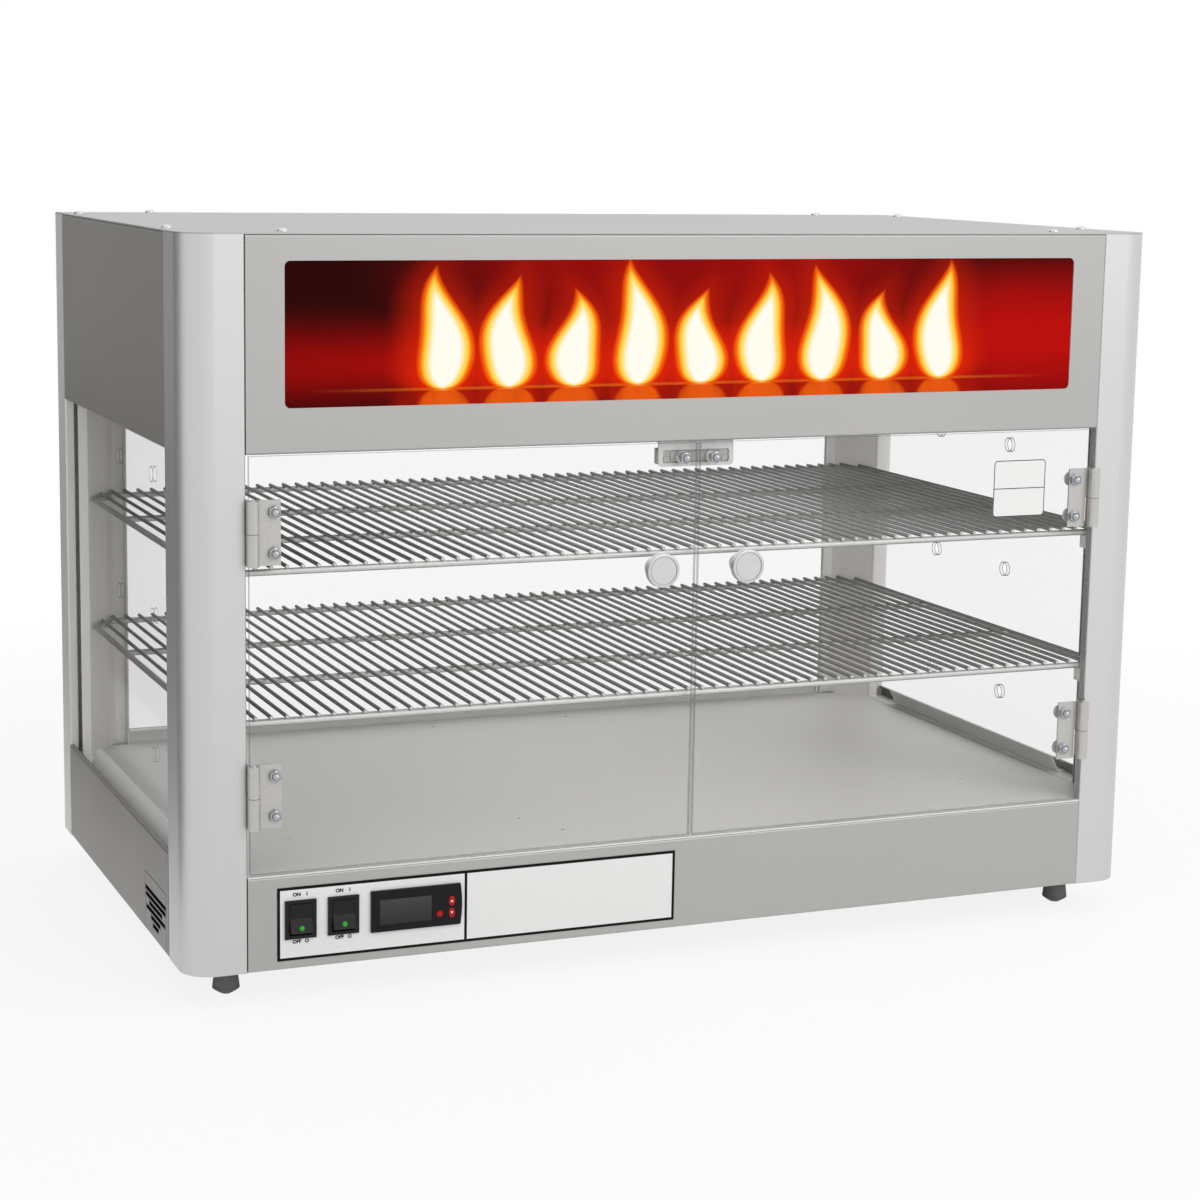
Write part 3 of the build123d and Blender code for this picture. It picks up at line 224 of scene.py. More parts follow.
def ventSteel():
    # brushed sheet, dark where the plate's nearest edge is within a seam's width (a dark joint), and painted
    # shade where the larger of the distances past a slot's half height and half length is within the shade
    look = ventLook
    low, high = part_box("vent_plates")
    shader = Shader("vent")
    y, z = shader.place("Y"), shader.place("Z")
    toEdge = (y - low.y).smallest(high.y - y).smallest(high.z - z)
    dark = 1.0 - toEdge.step(look.seam - look.fade, look.seam)
    for row, length in enumerate(look.slotLengths):
        offZ = abs(z - (look.firstSlot + row * look.slotPitch)) - look.slotHalfHeight
        offY = abs(y - look.middleY) - length * mm / 2
        dark = dark.largest(1.0 - offZ.largest(offY).step(look.shade - look.fade, look.shade))
    lines = brushedGrain(shader, "y")
    base = shader.scaled(look.colour, (lines - 0.5) * steelLook.colourSpread + 1.0)
    return shader.surface(
        Base_Color=shader.mix(dark, base, look.dark), Metallic=(1.0 - dark) * steelLook.metallic,
        Roughness=(lines - 0.5) * steelLook.roughnessSpread + steelLook.roughness)


hazeLook = Look({
    "size": 260.0,
    "tone": 0.86,              # share of its light that polished steel keeps where the haze is full
    "gloss": 0.14,
    "wireShare": 0.3,          # share of the darker edge tone, a painted shade, that the haze lays over a wire
    "wireEdge": (0.15, 0.70),  # painted shade toward a wire's outline: one minus the cosine of the viewing angle, from a wire's middle to its edge
})


def polishedSteel(name, colour, roughness, metallic):
    # bright turned steel: the haze blends the colour with a slightly darker one and moves the gloss
    look = hazeLook
    shader = Shader(name)
    haze = shader.noise(look.size)
    return shader.surface(
        Base_Color=shader.mix(haze, colour, darker(colour, look.tone)), Metallic=metallic,
        Roughness=(haze - 0.5) * look.gloss + roughness)


def drawnWire(name, colour, edge, roughness, metallic):
    # drawn wire: the tone runs to the darker edge tone, a painted shade along the wire's outline, as one
    # minus the cosine of the viewing angle grows
    look = hazeLook
    shader = Shader(name)
    haze = shader.noise(look.size)
    facing = shader.node("ShaderNodeLayerWeight", None, {"Blend": 0.5}, out="Facing")
    base = shader.mix(haze * look.wireShare, colour, edge)
    return shader.surface(
        Base_Color=shader.mix(facing.step(*look.wireEdge), base, edge), Metallic=metallic,
        Roughness=(haze - 0.5) * look.gloss + roughness)


plasticLook = Look({
    "pebbleSize": 1800.0,
    "bumpStrength": 0.5,
    "cloudSize": 40.0,
    "cloudTone": 0.8,
    "cloudGloss": 0.1,
})


def mouldedPlastic(name, colour, roughness, grainDepth=0.02 * mm, shine=0.22):
    # plastic or rubber: the clouds blend the colour with a darker one, and fine noise pebbles the skin
    look = plasticLook
    shader = Shader(name)
    pebble = shader.noise(look.pebbleSize, detail=2.0)
    clouds = shader.noise(look.cloudSize, detail=2.0)
    return shader.surface(
        Base_Color=shader.mix(clouds, colour, darker(colour, look.cloudTone)),
        Roughness=(clouds - 0.5) * look.cloudGloss + roughness, Specular_IOR_Level=shine,
        Normal=shader.bump(pebble, grainDepth, look.bumpStrength))


# Clear parts

glassLook = Look({
    "sheen": 0.45,             # how much of the glass's true reflection shows
    "body": "#3a3c3b",         # the diffuse tone under the reflection
    "gloss": 0.05,
    "hazeSize": 3.0,
    "hazeGloss": 0.03,
    "edge": "#8b9490",
    "edgeGloss": 0.3,
    "edgeTurn": (0.35, 0.75),  # how far a normal lies along the sheet's axis, from edge to face
    "rim": "#2a2d2c",          # dark line round each drilled hole
    "rimWidth": 0.7 * mm,
    "rimFade": 0.1 * mm,
    "holeRadius": 6.0 * mm,
    "holeY": (-48.95 * mm, 78.05 * mm),
    "holeZ": (163.3 * mm, 281.2 * mm, 399.1 * mm),
})


def clearSheet(name, tint, across, edgeCover, drilled=False):
    # clear sheet: its shine is 0.02 plus 0.98 times the fifth power of one minus the cosine of the viewing
    # angle, alike from both sides; faces whose normal lies off the sheet's own axis are its edges, and a
    # drilled sheet has a dark rim where the distance from a hole's middle is close to its radius
    look = glassLook
    shader = Shader(name)
    normal = shader.node("ShaderNodeTexCoord", out="Normal")
    facing = abs(shader.node("ShaderNodeSeparateXYZ", None, {0: normal}, out=across))
    edge = 1.0 - facing.step(*look.edgeTurn)
    haze = shader.noise(look.hazeSize, detail=2.0)
    through = shader.node("ShaderNodeBsdfTransparent", None, {"Color": tint})
    tone = shader.mix(edge, look.body, look.edge)
    cover = edge * edgeCover
    if drilled:
        rim = None
        for holeY in look.holeY:
            for holeZ in look.holeZ:
                y, z = shader.place("Y") - holeY, shader.place("Z") - holeZ
                ring = (y * y + z * z).power(0.5).near(
                    look.holeRadius, look.rimWidth, look.rimWidth + look.rimFade)
                rim = ring if rim is None else rim.largest(ring)
        rim = rim * (1.0 - edge)
        tone = shader.mix(rim, tone, look.rim)
        cover = cover.largest(rim)
    gloss = (haze - 0.5) * look.hazeGloss + edge * look.edgeGloss + look.gloss
    shine = shader.principled(Base_Color=tone, Roughness=gloss, Metallic=0.0)
    glance = shader.node("ShaderNodeLayerWeight", None, {"Blend": 0.5}, out="Facing")
    amount = ((glance.power(5.0) * 0.98 + 0.02) * look.sheen).largest(cover)
    return shader.finish(shader.node("ShaderNodeMixShader", None, {0: amount, 1: through, 2: shine}))


# Lit sign: glowing flames on a dark red ground, mirrored in a glossy shelf below them

signLook = Look({
    "flames": 9,
    "spread": 0.70,               # share of the width that the flames cover
    "shelf": -0.70,               # height of the shelf line, from -1 at the bottom to 1 at the top
    "shelfFade": (-0.03, 0.01),
    "height": (1.28, 0.20),       # of the flames, and how far it swings from one to another
    "heightWave": (2.4, 0.7),
    "lean": 0.15,
    "leanWave": (5.2, 1.9),
    "roundness": 0.42,
    "width": (0.84, 0.03),        # of a flame and of its tip
    "bands": {"core": (0.07, 0.20), "inner": (0.0, 0.08), "rim": (-0.07, 0.02), "halo": (-0.60, 0.05)},
    "haloDrop": (1.15, 0.75),
    "haloShare": 0.8,
    "streaks": (60.0, 0.9, 0.05),    # in the shelf: size, share and least darkening
    "smoke": (14.0, 0.7, 0.6),    # in the ground: size, share and least light
    "belt": (-0.36, 0.02, 0.95),  # height, and where its glow starts and ends to fade
    "beltEnds": (0.2, 0.35, 1.1, 0.4),    # middle, where the belt dims to each side, and by how much
    "flare": (0.5, 0.8, 1.15),    # brighter patch at the right: start, full width and gain
    "flareRise": (-0.2, 0.0, 1.4),
    "crown": (0.0, 0.25, 0.85),   # glow above the flames
    "crownRise": (-0.6, 0.7, 0.6),    # start, full height and gain
    "lineGain": 0.35,
    "lineRise": 0.03,
    "lineReach": (0.0, 0.6, 0.95),
    "ground": "#060101",
    "dark": "#2a0101",
    "red": "#b80804",
    "halo": "#e02400",
    "rim": "#ff6a00",
    "inner": "#ffd648",
    "core": "#fffdf0",
    "mirror": "#e85a10",          # what the bright parts turn to in the shelf
    "line": "#ff8a20",
})


def litSign():
    # a flame's half width is a power of the share of its height times what is left of it, plus its tip's;
    # its middle leans by a sine that grows with height, each band is a step over the distance inside that
    # outline, and below the shelf line the same shapes show upside down
    look = signLook
    low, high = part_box("sign_panel")
    shader = Shader("sign")
    across = (shader.place("X") - (low.x + high.x) / 2) / ((high.x - low.x) / 2)
    up = (shader.place("Z") - (low.z + high.z) / 2) / ((high.z - low.z) / 2)
    above = abs(up - look.shelf)
    cell = across * (look.flames / (2 * look.spread)) + look.flames / 2
    here = cell.math("FLOOR")
    bands = {}
    for neighbour in (-1, 0, 1):
        index = here + neighbour
        real = index.step(-0.6, -0.4) * (1.0 - index.step(look.flames - 0.6, look.flames - 0.4))
        wave = (index * look.heightWave[0] + look.heightWave[1]).sin()
        q = (above / (wave * look.height[1] + look.height[0])).smallest(1.5)
        lean = (q * look.leanWave[0] + index * look.leanWave[1]).sin() * q * look.lean
        body = q.power(look.roundness) * (1.0 - q) * look.width[0] + look.width[1]
        gap = body - abs(cell - index - 0.5 - lean)
        drop = (look.haloDrop[0] - q * look.haloDrop[1]).largest(0.0)
        for name, reach in look.bands.items():
            part = gap.step(*reach) * real
            part = part * drop if name == "halo" else part
            bands[name] = bands[name].largest(part) if name in bands else part
    mirrored = 1.0 - up.step(*(look.shelf + fade for fade in look.shelfFade))
    size, share, least = look.streaks
    fade = 1.0 - mirrored * (shader.noise(size, detail=3.0, stretch=(1, 1, 0.15)) * share + least)
    size, share, least = look.smoke
    smoke = shader.noise(size, detail=4.0, stretch=(0.5, 1, 1.2)) * share + least
    belt = up.near(*look.belt)
    middle, start, end, dim = look.beltEnds
    sides = 1.0 - abs(across - middle).step(start, end) * dim
    flare = across.step(*look.flare[:2]) * up.near(*look.flareRise) * look.flare[2]
    crown = across.near(*look.crown) * up.step(*look.crownRise[:2]) * look.crownRise[2]
    glow = (belt * belt * sides).largest(crown).largest(flare) * smoke
    colour = shader.mix(glow, look.dark, look.red)
    colour = shader.mix(bands["halo"] * fade * look.haloShare, colour, look.halo)
    colour = shader.mix(bands["rim"] * fade, colour, look.rim)
    for name in ("inner", "core"):
        bright = shader.mix(mirrored, look[name], look.mirror)
        colour = shader.mix(bands[name] * fade, colour, bright)
    line = up.near(look.shelf, 0.0, look.lineRise) * look.lineGain * across.near(*look.lineReach)
    return shader.surface(
        Base_Color=look.ground, Roughness=0.5, Specular_IOR_Level=0.03,
        Emission_Color=shader.mix(line, colour, look.line), Emission_Strength=1.0)


# Printed control plate

plateLook = Look({
    "paper": "#efefee",
    "ink": "#070707",
    "border": 2.3 * mm,
    "divider": -198.1 * mm,  # x of the line right of the controller
    "fade": 0.06 * mm,
    "speckle": 900.0,
    "speckleTone": 0.95,
    "gloss": 0.42,
    "glossSpread": 0.08,
})


def printedPlate():
    # white sheet, black where its nearest edge is within the border and within half of that from the divider
    look = plateLook
    low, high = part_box("control_plate")
    shader = Shader("plate")
    x, z = shader.place("X"), shader.place("Z")
    toEdge = (x - low.x).smallest(high.x - x).smallest((z - low.z).smallest(high.z - z))
    half, fade = look.border / 2, look.fade
    border = 1.0 - toEdge.step(look.border - fade, look.border + fade)
    ink = border.largest(x.near(look.divider, half - fade, half + fade))
    speckle = shader.noise(look.speckle, detail=2.0)
    paper = shader.mix(speckle, look.paper, darker(look.paper, look.speckleTone))
    return shader.surface(
        Base_Color=shader.mix(ink, paper, look.ink), Specular_IOR_Level=0.15,
        Roughness=(speckle - 0.5) * look.glossSpread + look.gloss)


windowLook = Look({
    "low": "#2b2b2b",
    "high": "#434343",
    "rows": 9000.0,  # radians of the row sine per metre
    "rowShare": 0.03,
    "gloss": 0.28,
})


def displayWindow():
    # unlit grey display: a blend by height plus a small sine of the height
    look = windowLook
    low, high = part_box("controller_window")
    shader = Shader("window")
    up = (shader.place("Z") - low.z) / (high.z - low.z)
    rows = (shader.place("Z") * look.rows).sin() * look.rowShare
    tone = shader.mix(up + rows, look.low, look.high)
    return shader.surface(Base_Color=tone, Roughness=look.gloss, Specular_IOR_Level=0.2)


def glowLens(name, colour, strength):
    # tinted pilot lens: a speckle between the colour and a darker one, which also glows
    shader = Shader(name)
    tone = shader.mix(shader.noise(2500.0, detail=1.0), colour, darker(colour, 0.7))
    return shader.surface(
        Base_Color=tone, Roughness=0.3, Specular_IOR_Level=0.3,
        Emission_Color=tone, Emission_Strength=strength)


labelLook = Look({
    "middle": (302.4 * mm, 385.9 * mm),    # x and z on the right door
    "width": 50.8 * mm,
    "height": 48.6 * mm,
    "corner": 3.4 * mm,
    "ruleInset": 0.4 * mm,  # how far the printed rule lies inside the label's edge
    "ruleHalf": 0.3 * mm,
    "ruleFade": 0.15 * mm,
    "thickness": 0.12 * mm,
    "sink": 0.02 * mm,
    "paper": ("#f2f2f1", "#e8e8e6"),
    "ink": "#2e2e2e",
    "speckle": 1200.0,
    "gloss": 0.5,
    "glossSpread": 0.1,
})


def labelPaper():
    # blank white label: the distance inside its rounded outline places a thin dark rule round it, and the
    # distance from its middle's height places one across it
    look = labelLook
    shader = Shader("label")
    x = shader.place("X") - look.middle[0]
    z = shader.place("Z") - look.middle[1]
    cornerX = (abs(x) - (look.width / 2 - look.corner)).largest(0.0)
    cornerZ = (abs(z) - (look.height / 2 - look.corner)).largest(0.0)
    inside = look.corner - (cornerX * cornerX + cornerZ * cornerZ).power(0.5)
    fade = (look.ruleHalf, look.ruleHalf + look.ruleFade)
    rule = inside.near(look.ruleInset, *fade)
    across = z.near(0.0, *fade) * inside.step(look.ruleInset - 0.1 * mm, look.ruleInset)
    speckle = shader.noise(look.speckle, detail=2.0)
    paper = shader.mix(speckle, *look.paper)
    return shader.surface(
        Base_Color=shader.mix(rule.largest(across), paper, look.ink), Specular_IOR_Level=0.15,
        Roughness=(speckle - 0.5) * look.glossSpread + look.gloss)


# The finishes, and which nodes wear them

brushedSteel("post", "#cecfce", "z", metallic=0.82, roughness=0.43)
brushedSteel("rearPost", "#e9e8e6", "z", metallic=0.3)
brushedSteel("header", "#b1b0ae")
brushedSteel("base", "#b2b1ae")
brushedSteel("rear", "#e2e1de", metallic=0.1)
# the side finishes are darker copies of the case's steel: painted shade on the side panels
brushedSteel("side", "#8c8985", "y")
brushedSteel("shadedSideTop", "#a09d99", "y")
brushedSteel("top", "#b0b0af")
ventSteel()
brushedSteel("under", "#4c4b49", metallic=0.4)
brushedSteel("inner", "#f4f2ee", "z", metallic=0.0)
brushedSteel("deck", "#ebeae7", metallic=0.05, roughness=0.5)
brushedSteel("retainer", "#efeeeb", "y", metallic=0.0)
polishedSteel("hinge", "#c6c4c0", 0.34, 0.6)
polishedSteel("bright", "#dcdee0", 0.24, 0.7)
polishedSteel("satin", "#eeeeec", 0.45, 0.15)
# each wire finish's second colour is a painted shade toward the outline of a wire or rod
drawnWire("wire", "#c6c4c1", "#787775", 0.45, 0.3)
# rod is a lighter copy of the wire's steel: painted light on the frame rods and each wire's front tip
drawnWire("rod", "#dedddb", "#a5a4a1", 0.40, 0.3)
polishedSteel("nut", "#b4b7bb", 0.2, 0.85)
polishedSteel("knob", "#d6d6d6", 0.36, 0.6)
mouldedPlastic("black", "#1b1b1b", 0.42)
mouldedPlastic("body", "#090909", 0.35)
mouldedPlastic("ink", "#050505", 0.6, shine=0.05)
mouldedPlastic("rubber", "#7c7c7c", 0.7, 0.00005)
mouldedPlastic("white", "#ecebe6", 0.45)
mouldedPlastic("catch", "#c2c1be", 0.45)
brushedSteel("plateBright", "#d4d4d2", metallic=0.25)
mouldedPlastic("button", "#b41614", 0.38)
mouldedPlastic("legend", "#f4f4f2", 0.5)
brushedSteel("heater", "#6c6a67")
clearSheet("door", "#fdfdfd", "Y", 0.5)
clearSheet("sidePane", "#fdfdfd", "X", 0.08, drilled=True)
clearSheet("rearPane", "#fefefe", "Y", 0.3)
litSign()
printedPlate()
labelPaper()
displayWindow()
glowLens("lens", "#0f9a20", 0.35)
print("materials made:", len(finishes))

nodeFinish = {
    "post": "left_front_post right_front_post",
    "rearPost": "left_rear_post right_rear_post",
    "header": "front_header ceiling_panel",
    "rear": "rear_header_panel rear_base_panel",
    "top": "top_cover",
    "base": "front_base_panel",
    "side": "left_base_panel right_base_panel",
    "shadedSideTop": "left_header_panel right_header_panel",
    "vent": "vent_plates",
    "under": "base_pan deck_rails",
    "inner": "corner_covers",
    "deck": "deck",
    "retainer": "pane_retainers rack_brackets lamp_driver",
    "plateBright": "catch_bracket",
    "satin": "left_strike right_strike",
    "hinge": "left_hinge_leaves right_hinge_leaves hinge_fixed_leaves",
    "bright": "hinge_pins foot_screws top_screws left_door_fixings right_door_fixings",
    "wire": "upper_rack lower_rack",
    "knob": "left_knob right_knob",
    "black": "switch_housings light_rocker heat_rocker cord_gland limit_thermostat",
    "body": "controller_body",
    "rubber": "feet",
    "white": "lamp_tube lamp_holders",
    "catch": "catch_housing",
    "button": "up_button down_button set_button",
    "heater": "heating_element temperature_probe",
    "door": "left_door_glass right_door_glass",
    "sidePane": "left_side_pane right_side_pane",
    "rearPane": "rear_pane",
    "sign": "sign_panel",
    "plate": "control_plate",
    "window": "controller_window",
}
for finish, members in nodeFinish.items():
    for member in members.split():
        nodes[member].data.materials.clear()
        nodes[member].data.materials.append(finishes[finish])


# Mesh helpers

sharpAngle = 0.6    # radians between two faces, above which their edge stays sharp


def middleOf(node):
    # x and z of the middle of a node's box
    low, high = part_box(node)
    return (low.x + high.x) / 2, (low.z + high.z) / 2


def inMetres(pairs):
    # radius and height pairs given in millimetres
    return [(r * mm, z * mm) for r, z in pairs]


def addObject(name, data):
    made = bpy.data.objects.new(name, data)
    bpy.context.scene.collection.objects.link(made)
    return made


def makePiece(name, shape, finish, body, node=None):
    # a mesh at the origin, smooth but for sharp edges, in place of a node if one is named
    mesh = bpy.data.meshes.new(name)
    mesh.from_pydata(shape[0].tolist(), [], shape[1])
    mesh.validate()
    piece = addObject(name, mesh)
    mesh.materials.append(finishes[finish])
    mesh.shade_smooth()
    mesh.set_sharp_from_angle(angle=sharpAngle)
    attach(piece, body)
    if node is not None:
        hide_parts(node)


def gridFaces(rows, columns):
    # quads between rows of points, with the last column joined to the first
    r, c = np.meshgrid(np.arange(rows - 1) * columns, np.arange(columns), indexing="ij")
    after = (c + 1) % columns
    return np.stack([r + c, r + after, r + columns + after, r + columns + c], -1).reshape(-1, 4)


def cappedFaces(rows, columns, flip=False):
    # those quads and a flat cap at each end, all turned over with flip
    faces = gridFaces(rows, columns).tolist()
    faces.append(list(range(columns))[::-1])
    faces.append(list(range((rows - 1) * columns, rows * columns)))
    return [face[::-1] for face in faces] if flip else faces


def lathe(profile, segments):
    # surface of revolution about +Z: each radius and height pair swept round in equal steps
    profile = np.asarray(profile, float)
    turn = np.linspace(0, 2 * np.pi, segments, endpoint=False)
    points = np.empty((len(profile), segments, 3))
    points[..., :2] = profile[:, None, :1] * np.stack([np.cos(turn), np.sin(turn)], -1)
    points[..., 2] = profile[:, None, 1]
    return points.reshape(-1, 3), cappedFaces(len(profile), segments)


def dome(radius, height, start, steps):
    # quarter of an ellipse from the rim at height start up to the pole
    turn = np.linspace(0, np.pi / 2, steps)[:-1]
    pairs = [(radius * math.cos(t), start + height * math.sin(t)) for t in turn]
    return pairs + [(radius * 0.02, start + height)]


def stood(shape, place, way):
    # turns a lathed shape's +Z into the case with way 1, or out of it with way -1, and moves it
    points, faces = shape
    return np.stack([points[:, 0], way * points[:, 2], -way * points[:, 1]], -1) + place, faces


def joinShapes(*shapes):
    # several shapes as one
    points, faces, count = [], [], 0
    for shapePoints, shapeFaces in shapes:
        points.append(shapePoints)
        faces += [[i + count for i in face] for face in shapeFaces]
        count += len(shapePoints)
    return np.concatenate(points), faces


def stamp(shape, places):
    # copies one shape to every place
    return joinShapes(*((shape[0] + place, shape[1]) for place in places))


def tube(path, radius, sides, closed=False):
    # a circle across the path's direction at every point, with Z as its up
    path = np.asarray(path, float)
    if closed:
        ahead = np.roll(path, -1, 0) - path
        behind = path - np.roll(path, 1, 0)
    else:
        ahead = np.diff(path, axis=0, append=2 * path[-1:] - path[-2:-1])
        behind = np.diff(path, axis=0, prepend=2 * path[:1] - path[1:2])
    unit = lambda v: v / np.linalg.norm(v, axis=1, keepdims=True)
    direction = unit(unit(ahead) + unit(behind))
    stretch = 1 / np.maximum((direction * unit(ahead)).sum(1, keepdims=True), 0.5)
    side = unit(np.cross(direction, [0, 0, 1]))
    turn = np.linspace(0, 2 * np.pi, sides, endpoint=False)
    points = (path[:, None] + radius * stretch[:, None] * np.cos(turn)[None, :, None] * side[:, None]
              + radius * np.sin(turn)[None, :, None] * np.array([0, 0, 1.0]))
    rows = len(points)
    if not closed:
        return points.reshape(-1, 3), cappedFaces(rows, sides, flip=True)
    seam = gridFaces(2, sides)
    seam = np.where(seam < sides, seam + (rows - 1) * sides, seam - sides)
    return points.reshape(-1, 3), np.concatenate([gridFaces(rows, sides), seam])[:, ::-1].tolist()


# Wire racks

rackLook = Look({
    "rodRadius": 2.6 * mm,
    "wireRadius": 1.65 * mm,
    "pitch": 12.7 * mm,
    "bend": 6.0 * mm,           # inner bend of the frame at its cut corners
    "cornerCut": 15.0 * mm,
    "backCornerX": 382.2 * mm,  # where the rod leaves the back run to follow the slanted cover
    "slantStart": 25.35 * mm,   # how far in front of the back run that slant starts
    "frontTail": 2.6 * mm,      # how far wires run past the front rod's middle
    "tail": 4.0 * mm,           # how far wires run past the back rod's middle
    "shortTail": 1.9 * mm,      # the same for the outermost wires
    "tipLength": 1.6 * mm,      # cut end at the front of each wire, in the lighter rod finish: painted light
    "overlap": 0.2 * mm,        # how far a wire runs into its bright end
    "inside": 0.99,             # a wire's radius where it does, as a share of its end's
    "seat": 0.85,               # height of a wire's middle above the rods, as a share of its radius
    "chamfer": 0.35,            # length of a wire's chamfer, as a share of its radius
    "endSize": 0.7,             # radius at its very end, in the same way
    "crossRods": (1 / 3, 2 / 3),
    "wireSides": 10,
    "rodSides": 14,
})


def roundedLoop(corners, bend, steps=5):
    # swaps each corner of a flat loop for a circular bend, found from the turn between its two sides
    path = []
    corners = np.asarray(corners, float)
    for i, corner in enumerate(corners):
        before = corners[i - 1] - corner
        after = corners[(i + 1) % len(corners)] - corner
        before /= np.linalg.norm(before)
        after /= np.linalg.norm(after)
        half = math.acos(float(np.clip(before @ after, -1, 1))) / 2
        reach = bend / math.tan(half)
        middle = (before + after) / np.linalg.norm(before + after)
        centre = corner + middle * bend / math.sin(half)
        start = corner + before * reach - centre
        end = corner + after * reach - centre
        arc = np.linspace(start, end, steps)
        arc *= bend / np.linalg.norm(arc, axis=1, keepdims=True)
        path.append(centre + arc)
    return np.concatenate(path)


def wireLength(x, z, radius, ys, shares):
    # circles of radius times each share at the given depths, joined into a wire
    turn = np.linspace(0, 2 * np.pi, rackLook.wireSides, endpoint=False)
    radii = np.array(shares)[:, None] * radius
    depths = np.repeat(np.array(ys)[:, None], len(turn), 1)
    ring = np.stack([x + radii * np.cos(turn), depths, z + radii * np.sin(turn)], -1)
    return ring.reshape(-1, 3), cappedFaces(len(ys), len(turn), flip=True)


def wireRack(node):
    # a rod bent round the outline, two rods across it, and a wire at every pitch on top
    look = rackLook
    low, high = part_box(node)
    rod, wire, cut, backX = look.rodRadius, look.wireRadius, look.cornerCut, look.backCornerX
    rodZ = low.z + rod
    wireZ = rodZ + rod + wire * look.seat
    sideX, frontY, backY = high.x - rod, low.y + look.frontTail, high.y - look.tail
    corners = [(sideX - cut, frontY, rodZ), (sideX, frontY + cut, rodZ),
               (sideX, backY - look.slantStart, rodZ), (backX, backY, rodZ)]
    loop = corners + [(-x, y, z) for x, y, z in reversed(corners)]
    rods = [tube(roundedLoop(loop, look.bend), rod, look.rodSides, closed=True)]
    for share in look.crossRods:
        y = frontY + (backY - frontY) * share
        rods.append(tube([(-sideX, y, rodZ), (sideX, y, rodZ)], rod, look.rodSides))
    wires = []
    chamfer, small, inner = wire * look.chamfer, look.endSize, wire * look.inside
    count = int((sideX - rod - wire) // look.pitch)
    for k in range(-count, count + 1):
        x = k * look.pitch
        start = low.y + max(0.0, abs(x) - (sideX - cut))
        past = abs(x) - backX
        end = high.y
        if past > -look.shortTail:
            end = backY - past * look.slantStart / (sideX - backX) + look.shortTail
        tip = start + look.tipLength
        depths = [tip - look.overlap, end - chamfer, end]
        # each wire's front tip goes in with the rods, in their lighter finish as painted light
        rods.append(wireLength(x, wireZ, wire, [start, start + chamfer, tip], [small, 1.0, 1.0]))
        wires.append(wireLength(x, wireZ, inner, depths, [1.0, 1.0, small]))
    makePiece(node + "_rods", joinShapes(*rods), "rod", "case", node)
    makePiece(node + "_wires", joinShapes(*wires), "wire", "case", node)


wireRack("upper_rack")
wireRack("lower_rack")
print("racks made")


# Door fixings, knobs, strikes, top screws and feet

fixingLook = Look({
    "boltX": 356.7 * mm,
    "hingeLevels": (375.8 * mm, 169.6 * mm),
    "boltSpacing": 31.8 * mm,
    "leaf": 1.5 * mm,
    "nutAcross": 9.0 * mm,
    "nutFoot": 0.96,  # size of the nut's bevelled foot
    "nut": ((9.0, 0.3), (9.0, 2.8), (4.815, 3.35), (4.365, 3.7), (3.5, 3.8)),    # greatest radius, height
    "capRadius": 3.5 * mm,
    "capHeight": 3.3 * mm,
    "capStart": 4.2 * mm,
    "nutSegments": 48,
    "washerAndHead": ((2.4, 0.0), (6.05, 0.0), (6.2, 0.15), (6.2, 0.75), (6.05, 0.9), (5.0, 0.9), (5.0, 1.4)),
    "headDome": 2.1 * mm,
    "screwSegments": 36,
})


def acornNut(look):
    # a hexagon's radius is its half width over the cosine of the angle from its nearest flat's middle, and
    # each row of the nut takes the smaller of that and its own greatest radius, up to the round cap
    turn = np.linspace(0, 2 * np.pi, look.nutSegments, endpoint=False)
    hexagon = look.nutAcross / 2 / np.cos((turn + np.pi / 6) % (np.pi / 3) - np.pi / 6)
    profile = inMetres(look.nut) + dome(look.capRadius, look.capHeight, look.capStart, 7)
    rows = [(hexagon * look.nutFoot, 0.0)] + [(np.minimum(hexagon, limit), z) for limit, z in profile]
    points = [np.stack([r * np.cos(turn), r * np.sin(turn), np.full_like(turn, z)], -1) for r, z in rows]
    return np.concatenate(points), cappedFaces(len(rows), len(turn))


def screwHead(look, shank):
    # washer and domed head, with a shank that runs back the other way by shank
    profile = inMetres(look.washerAndHead)
    radius, start = profile[-1]
    profile = [(profile[0][0], -shank)] + profile + dome(radius, look.headDome, start, 6)[1:]
    return lathe(profile, look.screwSegments)


def doorFixings(side):
    # four hinge screws with nuts, the knob's screw and the strike's nut
    look = fixingLook
    sign = -1 if side == "left" else 1
    glassLow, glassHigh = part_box(side + "_door_glass")
    front, back = glassLow.y, glassHigh.y
    nuts, screws = [], []
    for level in look.hingeLevels:
        for step in (-0.5, 0.5):
            x, z = sign * look.boltX, level + step * look.boltSpacing
            screws.append(stood(screwHead(look, back - front + look.leaf), (x, back, z), 1))
            nuts.append(stood(acornNut(look), (x, front - look.leaf, z), -1))
    x, z = middleOf(side + "_knob")
    screws.append(stood(screwHead(look, back - front), (x, back, z), 1))
    x, z = middleOf(side + "_strike")
    nuts.append(stood(acornNut(look), (x, front, z), -1))
    for kind, shapes, finish in (("nuts", nuts, "nut"), ("screws", screws, "satin")):
        makePiece(side + "_door_" + kind, joinShapes(*shapes), finish, side + "_door",
                  side + "_door_fixings")


knobLook = Look({
    "stem": ((0.1, 0.0), (8.7, 0.0), (9.0, 0.3), (9.0, 1.7), (8.6, 2.1), (5.4, 3.6), (4.8, 4.6), (4.8, 9.0),
             (6.0, 10.6), (11.6, 11.7), (13.3, 12.6), (14.0, 13.4)),    # radius and height: foot, stem, flare
    "radius": 14.0 * mm,
    "rim": 1.1 * mm,
    "ring": 2.2 * mm,  # width of the raised ring round the face
    "groove": ((0.0, 0.0), (0.12, 0.1), (0.15, 1.2), (0.6, 1.2), (0.6, 0.6), (0.7, 0.5)),    # in and down
    "middle": 0.1 * mm,
    "segments": 72,
})


